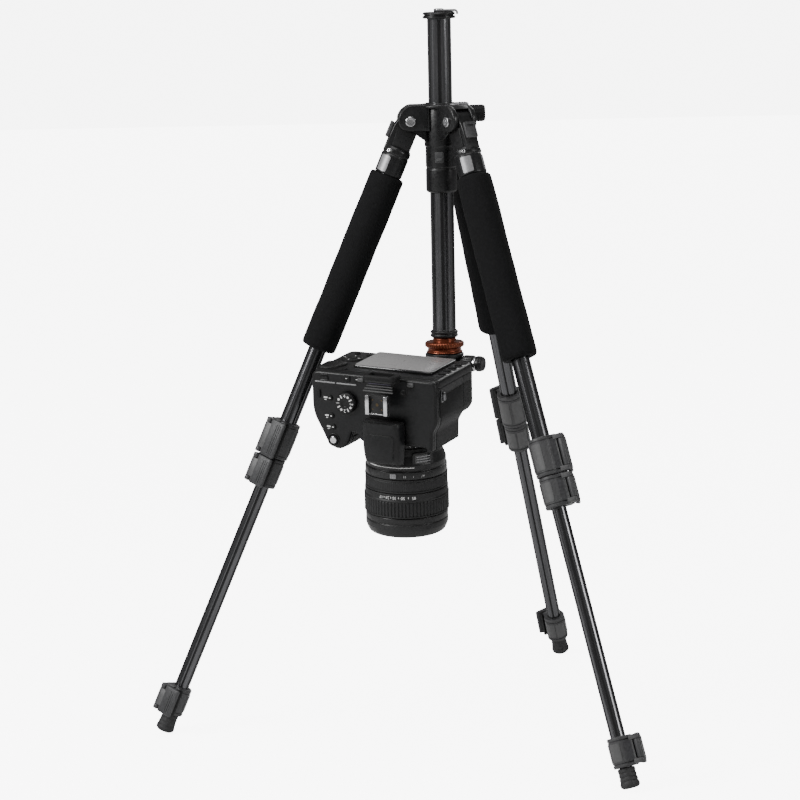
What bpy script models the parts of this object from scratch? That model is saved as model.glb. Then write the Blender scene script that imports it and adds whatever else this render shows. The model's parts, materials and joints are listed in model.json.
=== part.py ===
"""Folding three-leg camera tripod with its centre column inverted.

A ball head hangs from the lower end of the column and carries a digital reflex
camera by its base, so that the lens points at the floor.  Every separate piece is
its own object.  Sizes are in millimetres and are turned into metres by the helpers;
+Z is up, the three feet stand on z = 0, and the origin is the middle of the
footprint of the whole object.
"""
import math

import bmesh
import bpy
from mathutils import Matrix

MM = 0.001
GAP = 0.3                    # clearance left between neighbouring pieces
ROUND = 20                   # sides of an ordinary round piece
FINE = 32                    # sides of the lens, where roundness shows

# ---- stance -------------------------------------------------------------------
AXIS_X = 57.1                # column axis, measured from the middle of the footprint
AXIS_Y = -15.1
PIVOT_HEIGHT = 600.0         # leg hinges above the floor
PIVOT_RADIUS = 30.2          # leg hinges out from the column axis
LEG_SPREAD = 23.2            # angle between a leg and the column, in degrees
LEG_HEADINGS = {"left": -175.1, "front": -55.1, "rear": 64.9}

# ---- spider -------------------------------------------------------------------
HUB_RADIUS = 16.0
HUB_TOP = 612.0
HUB_STEP = 576.0
SLEEVE_RADIUS = 15.2
SLEEVE_BOTTOM = 530.5
CANOPY_RADIUS = 20.5
CANOPY_TOP = 616.0
ARM_HALF_WIDTH = 13.5
ARM_SIDE = [(13.5, 15.8), (31, 15.8), (38, 11), (41.5, 5), (41.5, -3), (38.5, -7.5), (33, -9.5),
            (13.5, -9.5)]    # out from the column axis, and above the leg hinges
SLOT_HALF_WIDTH = 7.8
SLOT_START = 17.6
LOCK_KNOB_HEADING = 5.0      # the column's lock knob, between the front and rear legs
LOCK_KNOB_HEIGHT = 606.0
LOCK_KNOB_RADIUS = 8.5
LOCK_KNOB_INNER = 27.6
LOCK_KNOB_OUTER = 43.0
LOCK_BOSS_RADIUS = 6.0
SHANK_RADIUS = 3.0

# ---- centre column ------------------------------------------------------------
COLUMN_RADIUS = 11.5
COLUMN_BORE = 9.6
COLUMN_TOP = 697.0
COLLAR_RADIUS = 13.5
COLLAR_TOP = 395.7
COLLAR_BOTTOM = 388.9
CAP_RADIUS = 15.8
CAP_TOP = 703.3
HOOK_WIDTH = 12.0
HOOK_REACH = 19.8

# ---- ball head ----------------------------------------------------------------
PAN_RING_RADIUS = 19.3
PAN_RING_TOP = 384.6
PAN_RING_BOTTOM = 373.8
PAN_DISC_RADIUS = 18.8
PAN_DISC_BOTTOM = 368.8
STUD_RADIUS = 5.0
HOUSING_RADIUS = 14.6
HOUSING_BOTTOM = 341.0
BALL_HEIGHT = 349.0
BALL_RADIUS = 11.4
SOCKET_RADIUS = 12.4
STEM_RADIUS = 4.2
NOTCH_HALF_WIDTH = 5.2
BALL_KNOB_HEIGHT = 364.0
BALL_KNOB_RADIUS = 8.0

# ---- how the camera hangs -----------------------------------------------------
CAMERA_HEADING = 25.5        # its top faces this far to the left of the viewer
CAMERA_LEAN = 5.5            # its back leans this far toward the viewer
STEM_TO_AXIS = 90.0          # ball centre to the lens axis, along the stem
SOCKET_BEHIND_MOUNT = 35.0   # tripod socket behind the lens mount face

# ---- camera, in its own frame: x to the grip, y along the lens, z to the top -----
BODY_BOTTOM = -44.0
BODY_TOP = 34.0
TOP_PLATE = 39.5
BODY_REAR = -58.0
COVER_REAR = -66.0
SCREEN_REAR = -69.0
HUMP_TOP = 57.0
HUMP_HALF_WIDTH = 21.0
HUMP_FRONT = -26.0
HUMP_REAR = -63.0
THROAT_RADIUS = 27.0
THROAT_DEPTH = 44.0
BODY_LEFT = -52.0
BODY_RIGHT = 79.0
BODY_OUTLINE = [(BODY_LEFT, BODY_REAR), (BODY_LEFT, -24), (-47, -16), (-46.5, 2), (-41, 3.2),
                (-40, -0.6), (28, -0.6), (33, -9), (37.5, -9.6), (40, -2), (43.5, 6), (51, 10),
                (58, 8.5), (64, 3.5), (70, -9), (76.5, -20), (BODY_RIGHT, -30),
                (BODY_RIGHT, BODY_REAR)]
SCREEN = (-37.0, 46.0, -39.0, 17.0)      # left, right, bottom, top
EYECUP = (-18.0, 18.0, 41.0, 56.0)
EYECUP_WINDOW = (-12.0, 12.0, 43.5, 53.5)
EYECUP_REAR = -71.0
DIAL_PLACE = (41.0, -38.0)
DIAL_RADIUS = 10.5
DIAL_HEIGHT = 5.6
BUTTON_PLACE = (56.5, 0.5)
BUTTON_RADIUS = 4.8
BUTTON_TOP = 41.4
CONTROL_SHAFT_BOTTOM = 37.0
DIAL_SHAFT_RADIUS = 2.0
SHOE_REAR = 53.0             # behind the mount, like the front edge below
SHOE_FRONT = 34.5
SHOE_HALF_WIDTH = 11.4
SHOE_LIP_START = 7.6
SHOE_WALL = 2.0
SHOE_HEIGHT = 3.6
SHOE_LIP = 1.0
FLASH_HINGE = (-22.0, 54.3)
FLASH_HINGE_RADIUS = 2.2
FLASH_HALF_WIDTH = 20.0
FLASH_TIP = 17.0

# ---- lens, measured along its axis from the mount ------------------------------
LENS_BORE = 33.0
LENS_CORE = 36.0
LENS_BARREL_RADIUS = 39.2
FOCUS_START = 34.3
FOCUS_END = 47.7
FOCUS_RADIUS = 39.8
ZOOM_START = 48.0
ZOOM_END = 71.7
ZOOM_RADIUS = 40.8
LENS_FRONT = 92.0
LENS_FRONT_RADIUS = 39.6

# ---- legs, measured down the leg from its hinge ---------------------------------
YOKE_HALF_WIDTH = 7.5
YOKE_TOP_RADIUS = 10.5
YOKE_SLEEVE_RADIUS = 13.5
YOKE_SLEEVE_START = 28.0
YOKE_SLEEVE_END = 55.7
BOLT_HEAD_RADIUS = 4.8
BOLT_HEAD_START = 13.8
BOLT_HEAD_END = 16.0
FOAM_START = 56.0
FOAM_END = 238.0
FOAM_RADIUS = 17.3
TUBE_RADII = [8.75, 7.95, 7.1, 6.1]     # the four telescoping sections
TUBE_WALL = 0.5
UPPER_TUBE_START = 34.0
UPPER_TUBE_END = 350.0
CLAMPS = {"upper": (316.0, 352.8), "middle": (353.3, 383.3), "lower": (602.0, 630.3)}
CLAMP_RADII = {"upper": 13.0, "middle": 12.0, "lower": 11.0}
LEVER_HEADING = 50.0         # levers sit this far round from the leg's outer side
LUG_REACH = 1.5              # how far a clamp's lug stands out from its collar
PIN_PLACE = (4.0, -8.0)      # lever pin, out from the lug's face and to its side
KNUCKLE_RADIUS = 3.2
LEVER_PLATE = (-1.6, 3.4, 4.0, 21.0)     # inner and outer face, near and far edge
EAR_INSET = 0.6              # a clamp's lug is this much shorter than its collar, each end
KNUCKLE_HEIGHT = 4.5
SECOND_TUBE_START = 64.0
THIRD_TUBE_START = 338.0
FOOT_TUBE_START = 362.0
FOOT_PROFILE = [(6.6, -19.4), (8.3, -19.4), (8.3, -12.0), (9.4, -4.5), (9.2, -2.2),
                (7.2, -0.4), (0.0, 0.0)]


# ---- helpers --------------------------------------------------------------------
def clear_scene():
    """Remove every object, mesh and material that the session starts with."""
    for thing in list(bpy.data.objects):
        bpy.data.objects.remove(thing, do_unlink=True)


def material(name, colour, roughness, metallic=0.0):
    """One plain surface finish."""
    made = bpy.data.materials.new(name)
    made.use_nodes = True
    shader = made.node_tree.nodes["Principled BSDF"]
    shader.inputs["Base Color"].default_value = (*colour, 1.0)
    shader.inputs["Roughness"].default_value = roughness
    shader.inputs["Metallic"].default_value = metallic
    made.diffuse_color = (*colour, 1.0)
    return made


def empty(name, matrix, parent=None):
    """A guide that carries a group of pieces; matrix is relative to the parent."""
    guide = bpy.data.objects.new(name, None)
    bpy.context.scene.collection.objects.link(guide)
    guide.empty_display_size = 0.02
    guide.parent = parent
    guide.matrix_basis = matrix
    return guide


def place(x=0.0, y=0.0, z=0.0):
    """A shift in millimetres, as a matrix in metres."""
    return Matrix.Translation((x * MM, y * MM, z * MM))


def turn(angle, axis):
    """A rotation by an angle in degrees."""
    return Matrix.Rotation(math.radians(angle), 4, axis)


def finish_mesh(bm, name):
    """Scale a bmesh drawn in millimetres to metres and make a mesh of it."""
    bmesh.ops.remove_doubles(bm, verts=bm.verts, dist=1e-4)
    bmesh.ops.recalc_face_normals(bm, faces=bm.faces)
    if bm.calc_volume(signed=True) < 0:
        bmesh.ops.reverse_faces(bm, faces=bm.faces)
    bmesh.ops.scale(bm, vec=(MM, MM, MM), verts=bm.verts)
    mesh = bpy.data.meshes.new(name)
    bm.to_mesh(mesh)
    bm.free()
    mesh.shade_smooth()
    mesh.set_sharp_from_angle(angle=math.radians(35))
    return mesh


def turned(name, profile, sides=ROUND):
    """A body of revolution about Z from (radius, z) points.

    A profile that starts and ends on the axis makes a solid; any other profile is
    closed on itself and makes a ring.
    """
    bm = bmesh.new()
    points = [bm.verts.new((radius, 0.0, z)) for radius, z in profile]
    edges = [bm.edges.new(pair) for pair in zip(points, points[1:])]
    on_axis = profile[0][0] == 0.0 and profile[-1][0] == 0.0
    if not on_axis:
        edges.append(bm.edges.new((points[-1], points[0])))
    bmesh.ops.spin(bm, geom=points + edges, cent=(0, 0, 0), axis=(0, 0, 1),
                   angle=math.tau, steps=sides, use_merge=True)
    return finish_mesh(bm, name)


def tube_profile(outer, inner, low, high):
    """The section of a plain tube."""
    return [(inner, low), (outer, low), (outer, high), (inner, high)]


def rod_profile(radius, low, high):
    """The section of a plain round bar."""
    return [(0.0, low), (radius, low), (radius, high), (0.0, high)]


def prism(name, outline, low, high, chamfer=0.0):
    """An outline in XY extruded from low to high, with its edges chamfered."""
    bm = bmesh.new()
    face = bm.faces.new([bm.verts.new((x, y, low)) for x, y in outline])
    grown = bmesh.ops.extrude_face_region(bm, geom=[face])
    upper = [part for part in grown["geom"] if isinstance(part, bmesh.types.BMVert)]
    bmesh.ops.translate(bm, vec=(0, 0, high - low), verts=upper)
    bmesh.ops.recalc_face_normals(bm, faces=bm.faces)
    if chamfer:
        sharp = [edge for edge in bm.edges if edge.calc_face_angle(0) > math.radians(50)]
        bmesh.ops.bevel(bm, geom=sharp, offset=chamfer, segments=1, profile=0.5,
                        affect="EDGES", clamp_overlap=True)
    return finish_mesh(bm, name)


def box(x0, x1, y0, y1):
    """A rectangular outline."""
    return [(x0, y0), (x1, y0), (x1, y1), (x0, y1)]


def arc(cx, cy, radius, start, end, steps):
    """Points along an arc, from start to end degrees."""
    angles = [math.radians(start + (end - start) * step / steps) for step in range(steps + 1)]
    return [(cx + radius * math.cos(a), cy + radius * math.sin(a)) for a in angles]


def add(name, mesh, finish, parent, matrix=None):
    """Show a mesh as a piece, carried by its parent."""
    piece = bpy.data.objects.new(name, mesh)
    bpy.context.scene.collection.objects.link(piece)
    mesh.materials.clear()
    mesh.materials.append(finish)
    piece.parent = parent
    piece.matrix_basis = matrix or Matrix()
    return piece


def shape(piece, mesh, operation, matrix=None):
    """Join a helper shape to a piece, or cut it out of the piece."""
    label = f"{piece.name}_{operation.lower()}_{len(piece.modifiers)}"
    helper = bpy.data.objects.new(label, mesh)
    bpy.context.scene.collection.objects.link(helper)
    helper.parent = piece.parent
    helper.matrix_basis = piece.matrix_basis @ (matrix or Matrix())
    helper.hide_render = True
    helper.display_type = "WIRE"
    step = piece.modifiers.new(label, "BOOLEAN")
    step.operation = operation
    step.solver = "EXACT"
    step.object = helper


def join(piece, mesh, matrix=None):
    shape(piece, mesh, "UNION", matrix)


def cut(piece, mesh, matrix=None):
    shape(piece, mesh, "DIFFERENCE", matrix)


ALONG_X = turn(90, "Y")      # carries a Z axis onto +X
ALONG_Y = turn(-90, "X")     # carries a Z axis onto +Y
UPRIGHT = turn(90, "X")      # carries an XY outline into XZ, extruded toward -Y
ACROSS = turn(90, "Z") @ turn(90, "X")   # carries an XY outline into YZ, extruded along +X


# ---- spider and column ----------------------------------------------------------
def build_spider(rig, finish):
    """The casting that joins the three legs and guides the column."""
    outer = [(COLUMN_RADIUS + GAP, SLEEVE_BOTTOM), (SLEEVE_RADIUS, SLEEVE_BOTTOM),
             (SLEEVE_RADIUS, HUB_STEP), (HUB_RADIUS, HUB_STEP), (HUB_RADIUS, HUB_TOP),
             (CANOPY_RADIUS, HUB_TOP), (CANOPY_RADIUS - 1, CANOPY_TOP),
             (COLUMN_RADIUS + GAP, CANOPY_TOP)]
    spider = add("spider", turned("spider", outer, 24), finish, rig)
    slot = box(SLOT_START, 60, -20, HUB_TOP - PIVOT_HEIGHT)
    for key, heading in LEG_HEADINGS.items():
        stand = turn(heading, "Z") @ place(z=PIVOT_HEIGHT)
        upright = stand @ UPRIGHT
        join(spider, prism("arm", ARM_SIDE, -ARM_HALF_WIDTH, ARM_HALF_WIDTH), upright)
        cut(spider, prism("slot", slot, -SLOT_HALF_WIDTH, SLOT_HALF_WIDTH), upright)
        hole = turned("hole", rod_profile(SHANK_RADIUS + GAP, -20, 20), 12)
        cut(spider, hole, stand @ place(x=PIVOT_RADIUS) @ ALONG_Y)
    side = turn(LOCK_KNOB_HEADING, "Z") @ place(z=LOCK_KNOB_HEIGHT) @ ALONG_X
    join(spider, turned("boss", rod_profile(LOCK_BOSS_RADIUS, 13, LOCK_KNOB_INNER - 2), 12), side)
    cut(spider, turned("hole", rod_profile(SHANK_RADIUS + GAP, 5, 40), 12), side)
    return spider


def build_lock_knob(rig, finish):
    """The ribbed knob whose screw presses on the column."""
    side = turn(LOCK_KNOB_HEADING, "Z") @ place(z=LOCK_KNOB_HEIGHT) @ ALONG_X
    inner, outer, radius = LOCK_KNOB_INNER, LOCK_KNOB_OUTER, LOCK_KNOB_RADIUS
    profile = [(0, 12.2), (SHANK_RADIUS, 12.2), (SHANK_RADIUS, inner), (radius - 1, inner),
               (radius, inner + 1.5), (radius, outer - 1.5), (radius - 1.5, outer), (0, outer)]
    add("column_lock_knob", turned("column_lock_knob", profile, 16), finish, rig, side)


def build_column(rig, finishes):
    """The fluted column with its lower ferrule, its end cap and the bag hook."""
    flutes, depth, half_angle = 6, 0.9, 9.0
    outline = []
    for flute in range(flutes):
        middle = 30 + 360 / flutes * flute
        for offset, radius in ((-half_angle, COLUMN_RADIUS), (-half_angle / 2, COLUMN_RADIUS - depth),
                               (half_angle / 2, COLUMN_RADIUS - depth), (half_angle, COLUMN_RADIUS),
                               (30, COLUMN_RADIUS)):
            angle = math.radians(middle + offset)
            outline.append((radius * math.cos(angle), radius * math.sin(angle)))
    column = add("column_tube", prism("column_tube", outline, COLLAR_TOP - 2, COLUMN_TOP),
                 finishes["column"], rig)
    ferrule = [(0, COLLAR_BOTTOM), (COLLAR_RADIUS, COLLAR_BOTTOM), (COLLAR_RADIUS, COLLAR_TOP),
               (0, COLLAR_TOP)]
    cut(column, turned("bore", rod_profile(COLUMN_BORE, COLLAR_TOP - 5, COLUMN_TOP + 5), 18))
    join(column, turned("ferrule", ferrule))
    cut(column, turned("stud_hole", rod_profile(STUD_RADIUS + GAP, 380, 400), 12))

    cap = [(2.4, COLUMN_TOP - 12), (COLUMN_BORE - GAP, COLUMN_TOP - 12),
           (COLUMN_BORE - GAP, COLUMN_TOP + GAP), (CAP_RADIUS, COLUMN_TOP + GAP),
           (CAP_RADIUS, COLUMN_TOP + 2.8), (CAP_RADIUS - 1.2, COLUMN_TOP + 3.1),
           (CAP_RADIUS - 1.2, COLUMN_TOP + 3.6), (CAP_RADIUS, COLUMN_TOP + 3.9),
           (CAP_RADIUS - 0.6, CAP_TOP), (2.4, CAP_TOP)]
    add("column_end_cap", turned("column_end_cap", cap), finishes["black"], rig)

    low, thick, curl = CAP_TOP + GAP, 2.2, 3.4
    bend = HOOK_REACH - curl
    side = [(-5, low), (bend - 1.2, low)] + arc(bend - 1.2, low - 1.2, 1.2, 90, 0, 3)
    side += [(bend, low - 2.6), (bend + thick, low - 2.6)]
    side += arc(bend - 1.2, low - 1.2, 1.2 + thick, 0, 90, 4) + [(-5, low + thick)]
    hook = add("bag_hook", prism("bag_hook", side, -HOOK_WIDTH / 2, HOOK_WIDTH / 2),
               finishes["steel"], rig, UPRIGHT)
    join(hook, turned("hook_pin", rod_profile(2.0, low - 6, low + thick + 1.0), 12),
         UPRIGHT.inverted())


# ---- ball head --------------------------------------------------------------------
def build_head(rig, head, finishes):
    """The pan ring, the housing with its drop notch, the ball, the stem and the clamp."""
    ring = [(0, COLLAR_BOTTOM + 4), (STUD_RADIUS, COLLAR_BOTTOM + 4), (STUD_RADIUS, COLLAR_BOTTOM - GAP),
            (11.3, COLLAR_BOTTOM - GAP), (11.3, PAN_RING_TOP), (PAN_RING_RADIUS - 1, PAN_RING_TOP),
            (PAN_RING_RADIUS, PAN_RING_TOP - 1.5), (PAN_RING_RADIUS, PAN_RING_BOTTOM + 1.5),
            (PAN_RING_RADIUS - 1, PAN_RING_BOTTOM), (STUD_RADIUS, PAN_RING_BOTTOM),
            (STUD_RADIUS, PAN_DISC_BOTTOM - 1), (0, PAN_DISC_BOTTOM - 1)]
    add("pan_ring", turned("pan_ring", ring), finishes["orange"], rig)

    top = PAN_RING_BOTTOM - GAP
    body = [(0, PAN_DISC_BOTTOM - 2), (STUD_RADIUS + GAP, PAN_DISC_BOTTOM - 2),
            (STUD_RADIUS + GAP, top), (PAN_DISC_RADIUS, top), (PAN_DISC_RADIUS, PAN_DISC_BOTTOM),
            (HOUSING_RADIUS, PAN_DISC_BOTTOM), (HOUSING_RADIUS, HOUSING_BOTTOM + 2),
            (HOUSING_RADIUS - 1.5, HOUSING_BOTTOM), (0, HOUSING_BOTTOM)]
    facing = turn(-CAMERA_HEADING, "Z")
    housing = add("ball_housing", turned("ball_housing", body), finishes["black"], rig, facing)
    knob_side = place(z=BALL_KNOB_HEIGHT) @ ALONG_X
    join(housing, turned("boss", rod_profile(5.6, 10, 20.5), 12), knob_side)
    socket = [(0, -SOCKET_RADIUS)] + [(SOCKET_RADIUS * math.cos(math.radians(a)),
                                       SOCKET_RADIUS * math.sin(math.radians(a)))
                                      for a in range(-75, 90, 15)] + [(0, SOCKET_RADIUS)]
    cut(housing, turned("socket", socket, 16), place(z=BALL_HEIGHT))
    notch = [(-NOTCH_HALF_WIDTH, -20)] + [(NOTCH_HALF_WIDTH, -20)]
    notch += arc(0, 0.5, NOTCH_HALF_WIDTH, 0, 180, 8)
    cut(housing, prism("notch", notch, 2, 30), place(z=BALL_HEIGHT) @ UPRIGHT)
    cut(housing, turned("hole", rod_profile(SHANK_RADIUS + GAP, 13.5, 40), 12), knob_side)

    radius = BALL_KNOB_RADIUS
    knob = [(0, 14), (SHANK_RADIUS, 14), (SHANK_RADIUS, 21.5), (radius, 21.5), (radius, 32),
            (radius - 1.6, 32.4), (radius - 1.6, 35), (radius - 0.4, 35.4), (radius - 0.8, 41.5),
            (0, 41.5)]
    add("ball_lock_knob", turned("ball_lock_knob", knob, 16), finishes["black"], rig,
        facing @ knob_side)

    sphere = [(0, -BALL_RADIUS)] + [(BALL_RADIUS * math.cos(math.radians(a)),
                                     BALL_RADIUS * math.sin(math.radians(a)))
                                    for a in range(-75, 90, 15)] + [(0, BALL_RADIUS)]
    ball = add("ball", turned("ball", sphere, 16), finishes["steel"], head)
    cut(ball, turned("stem_hole", rod_profile(STEM_RADIUS + GAP, 4, 20), 14))

    clamp_top = STEM_TO_AXIS + BODY_BOTTOM - 11.7
    stem = [(0, 4.5), (STEM_RADIUS, 4.5), (STEM_RADIUS, 22.5), (9.0, 24.0), (18.0, 24.5),
            (18.5, 25.5), (18.5, clamp_top - 4), (17.0, clamp_top - 3.5), (17.0, clamp_top),
            (0, clamp_top)]
    add("head_stem", turned("head_stem", stem), finishes["black"], head)
    plate_low, plate_high = clamp_top + GAP, STEM_TO_AXIS + BODY_BOTTOM - GAP
    add("camera_plate", prism("camera_plate", box(-21, 21, -19, 19), plate_low, plate_high, 1.5),
        finishes["black"], head)


# ---- camera -----------------------------------------------------------------------
def build_body(camera, finishes):
    """The chassis with the mirror box, the rear cover, the top cover, and the screen."""
    body = add("camera_body", prism("camera_body", BODY_OUTLINE, BODY_BOTTOM, BODY_TOP, 1.6),
               finishes["leather"], camera)
    cut(body, turned("throat", rod_profile(THROAT_RADIUS, -THROAT_DEPTH, 20), 24), ALONG_Y)

    rear = box(BODY_LEFT, BODY_RIGHT, BODY_BOTTOM, BODY_TOP)
    add("rear_cover", prism("rear_cover", rear, -(BODY_REAR - GAP), -COVER_REAR, 2.2),
        finishes["plastic"], camera, UPRIGHT)
    add("screen", prism("screen", box(*SCREEN), -(COVER_REAR - GAP), -SCREEN_REAR, 0.8),
        finishes["screen"], camera, UPRIGHT)

    low = BODY_TOP + GAP
    plate = [(BODY_LEFT, COVER_REAR)] + BODY_OUTLINE[1:-1] + [(BODY_RIGHT, COVER_REAR)]
    top = add("top_cover", prism("top_cover", plate, low, TOP_PLATE, 1.6),
              finishes["plastic"], camera)
    foot = BODY_TOP + 2
    side = [(HUMP_REAR, foot), (HUMP_FRONT, foot), (HUMP_FRONT, HUMP_TOP), (-55, HUMP_TOP),
            (-61, 53), (HUMP_REAR, 48)]
    join(top, prism("hump", side, -HUMP_HALF_WIDTH, HUMP_HALF_WIDTH, 1.5), ACROSS)
    well = CONTROL_SHAFT_BOTTOM - 1
    cut(top, turned("dial_hole", rod_profile(DIAL_SHAFT_RADIUS + GAP, well, 45), 12),
        place(*DIAL_PLACE))
    cut(top, turned("button_hole", rod_profile(BUTTON_RADIUS + GAP, well - 0.6, 45), 16),
        place(*BUTTON_PLACE))

    eyecup = add("eyecup", prism("eyecup", box(*EYECUP), -(HUMP_REAR - GAP), -EYECUP_REAR, 1.8),
                 finishes["rubber"], camera, UPRIGHT)
    cut(eyecup, prism("window", box(*EYECUP_WINDOW), 60, 80))


def build_controls(camera, finishes):
    """The mode dial, the shutter button, the pop-up flash and the hot shoe."""
    top = TOP_PLATE + GAP
    low, rim = CONTROL_SHAFT_BOTTOM, top + DIAL_HEIGHT
    dial = [(0, low), (DIAL_SHAFT_RADIUS, low), (DIAL_SHAFT_RADIUS, top), (DIAL_RADIUS, top),
            (DIAL_RADIUS, rim - 1), (DIAL_RADIUS - 1, rim), (0, rim)]
    add("mode_dial", turned("mode_dial", dial, 24), finishes["plastic"], camera,
        place(*DIAL_PLACE))
    button = [(0, low), (BUTTON_RADIUS, low), (BUTTON_RADIUS, BUTTON_TOP - 0.8),
              (BUTTON_RADIUS - 1, BUTTON_TOP), (0, BUTTON_TOP)]
    add("shutter_button", turned("shutter_button", button, 16), finishes["steel"], camera,
        place(*BUTTON_PLACE))

    hinge_y, hinge_z = FLASH_HINGE
    bottom = TOP_PLATE + GAP + 0.4
    side = [(hinge_y - FLASH_HINGE_RADIUS, bottom), (FLASH_TIP, bottom + 3.5), (FLASH_TIP, 50),
            (FLASH_TIP - 6, 55.2), (hinge_y + 10, 56.5)]
    side += arc(hinge_y, hinge_z, FLASH_HINGE_RADIUS, 90, 180, 3)
    local = [(y - hinge_y, z - hinge_z) for y, z in side]
    cover = prism("popup_flash", local, -FLASH_HALF_WIDTH, FLASH_HALF_WIDTH, 1.2)
    add("popup_flash", cover, finishes["plastic"], camera, place(0, hinge_y, hinge_z) @ ACROSS)

    low = HUMP_TOP + GAP
    high, lip = low + SHOE_HEIGHT, low + SHOE_HEIGHT - SHOE_LIP
    outer, inner, wall = SHOE_HALF_WIDTH, SHOE_LIP_START, SHOE_HALF_WIDTH - SHOE_WALL
    rail = [(-outer, low), (outer, low), (outer, high), (inner, high), (inner, lip), (wall, lip),
            (wall, low + SHOE_LIP), (-wall, low + SHOE_LIP), (-wall, lip), (-inner, lip),
            (-inner, high), (-outer, high)]
    add("hot_shoe", prism("hot_shoe", rail, SHOE_FRONT, SHOE_REAR), finishes["steel"], camera,
        UPRIGHT)


def build_lens(camera, finishes):
    """The zoom lens: fixed barrel, focus ring, zoom ring and sliding front barrel."""
    core, bore = LENS_CORE, LENS_BORE
    barrel = [(bore, GAP), (33.8, GAP), (34.6, 12), (38.4, 22), (LENS_BARREL_RADIUS, 26),
              (LENS_BARREL_RADIUS, 34.0), (core, 34.0), (core, ZOOM_END - 0.2),
              (bore, ZOOM_END - 0.2)]
    focus = tube_profile(FOCUS_RADIUS, core + GAP, FOCUS_START, FOCUS_END)
    zoom = [(core + GAP, ZOOM_START), (40.0, ZOOM_START), (40.0, ZOOM_START + 5),
            (ZOOM_RADIUS, ZOOM_START + 6), (ZOOM_RADIUS, ZOOM_END), (core + GAP, ZOOM_END)]
    radius, end, inside = LENS_FRONT_RADIUS, LENS_FRONT, bore - GAP
    front = [(0, end - 14), (inside - 3.7, end - 14), (inside - 2.7, end - 16),
             (inside - 2.7, 30), (inside, 30), (inside, ZOOM_END + 0.5),
             (radius, ZOOM_END + 0.5), (radius, end - 7), (radius - 3, end - 0.5),
             (radius - 4, end), (30.5, end), (29, end - 8), (0, end - 6)]
    add("lens_barrel", turned("lens_barrel", barrel, FINE), finishes["plastic"], camera, ALONG_Y)
    add("focus_ring", turned("focus_ring", focus, FINE), finishes["rubber"], camera, ALONG_Y)
    add("zoom_ring", turned("zoom_ring", zoom, FINE), finishes["rubber"], camera, ALONG_Y)
    add("front_barrel", turned("front_barrel", front, FINE), finishes["plastic"], camera,
        ALONG_Y)


# ---- legs -------------------------------------------------------------------------
def clamp_ears(piece, key):
    """Join a clamp's lug and its two lever knuckles to a collar."""
    start, end = CLAMPS[key]
    face = CLAMP_RADII[key] + LUG_REACH
    pin_x, pin_y = face + PIN_PLACE[0], PIN_PLACE[1]
    aim = turn(LEVER_HEADING, "Z")
    low, high = -end + EAR_INSET, -start - EAR_INSET
    join(piece, prism("lug", box(3, face, -10.5, 8), low, high, 0.8), aim)
    knuckle = [(face - 3, pin_y + KNUCKLE_RADIUS)] + arc(pin_x, pin_y, KNUCKLE_RADIUS, 90, -90, 4)
    knuckle += [(face - 3, pin_y - KNUCKLE_RADIUS)]
    for bottom in (low + 0.2, high - 0.2 - KNUCKLE_HEIGHT):
        join(piece, prism("knuckle", knuckle, bottom, bottom + KNUCKLE_HEIGHT), aim)


def clamp_bore(piece, key, radius):
    """Open a clamp for the section that slides through it."""
    start, end = CLAMPS[key]
    cut(piece, turned("clamp_bore", rod_profile(radius + GAP, -end - 5, -start + 5)))


def build_lever(leg, name, key, finish):
    """A flip lever, with its origin on its own pin."""
    start, end = CLAMPS[key]
    pin = CLAMP_RADII[key] + LUG_REACH + PIN_PLACE[0]
    half = (end - start) / 2
    inner = half - EAR_INSET - 0.2 - KNUCKLE_HEIGHT - GAP
    carrier = turn(LEVER_HEADING, "Z") @ place(pin, PIN_PLACE[1], -(start + end) / 2)
    plate = prism(name, box(*LEVER_PLATE), -half, half, 0.9)
    lever = add(name, plate, finish, leg, carrier)
    join(lever, prism("web", box(*LEVER_PLATE[:2], 0, LEVER_PLATE[2] + 2), -inner, inner))
    join(lever, turned("barrel", rod_profile(KNUCKLE_RADIUS, -inner, inner), 12))


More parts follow.
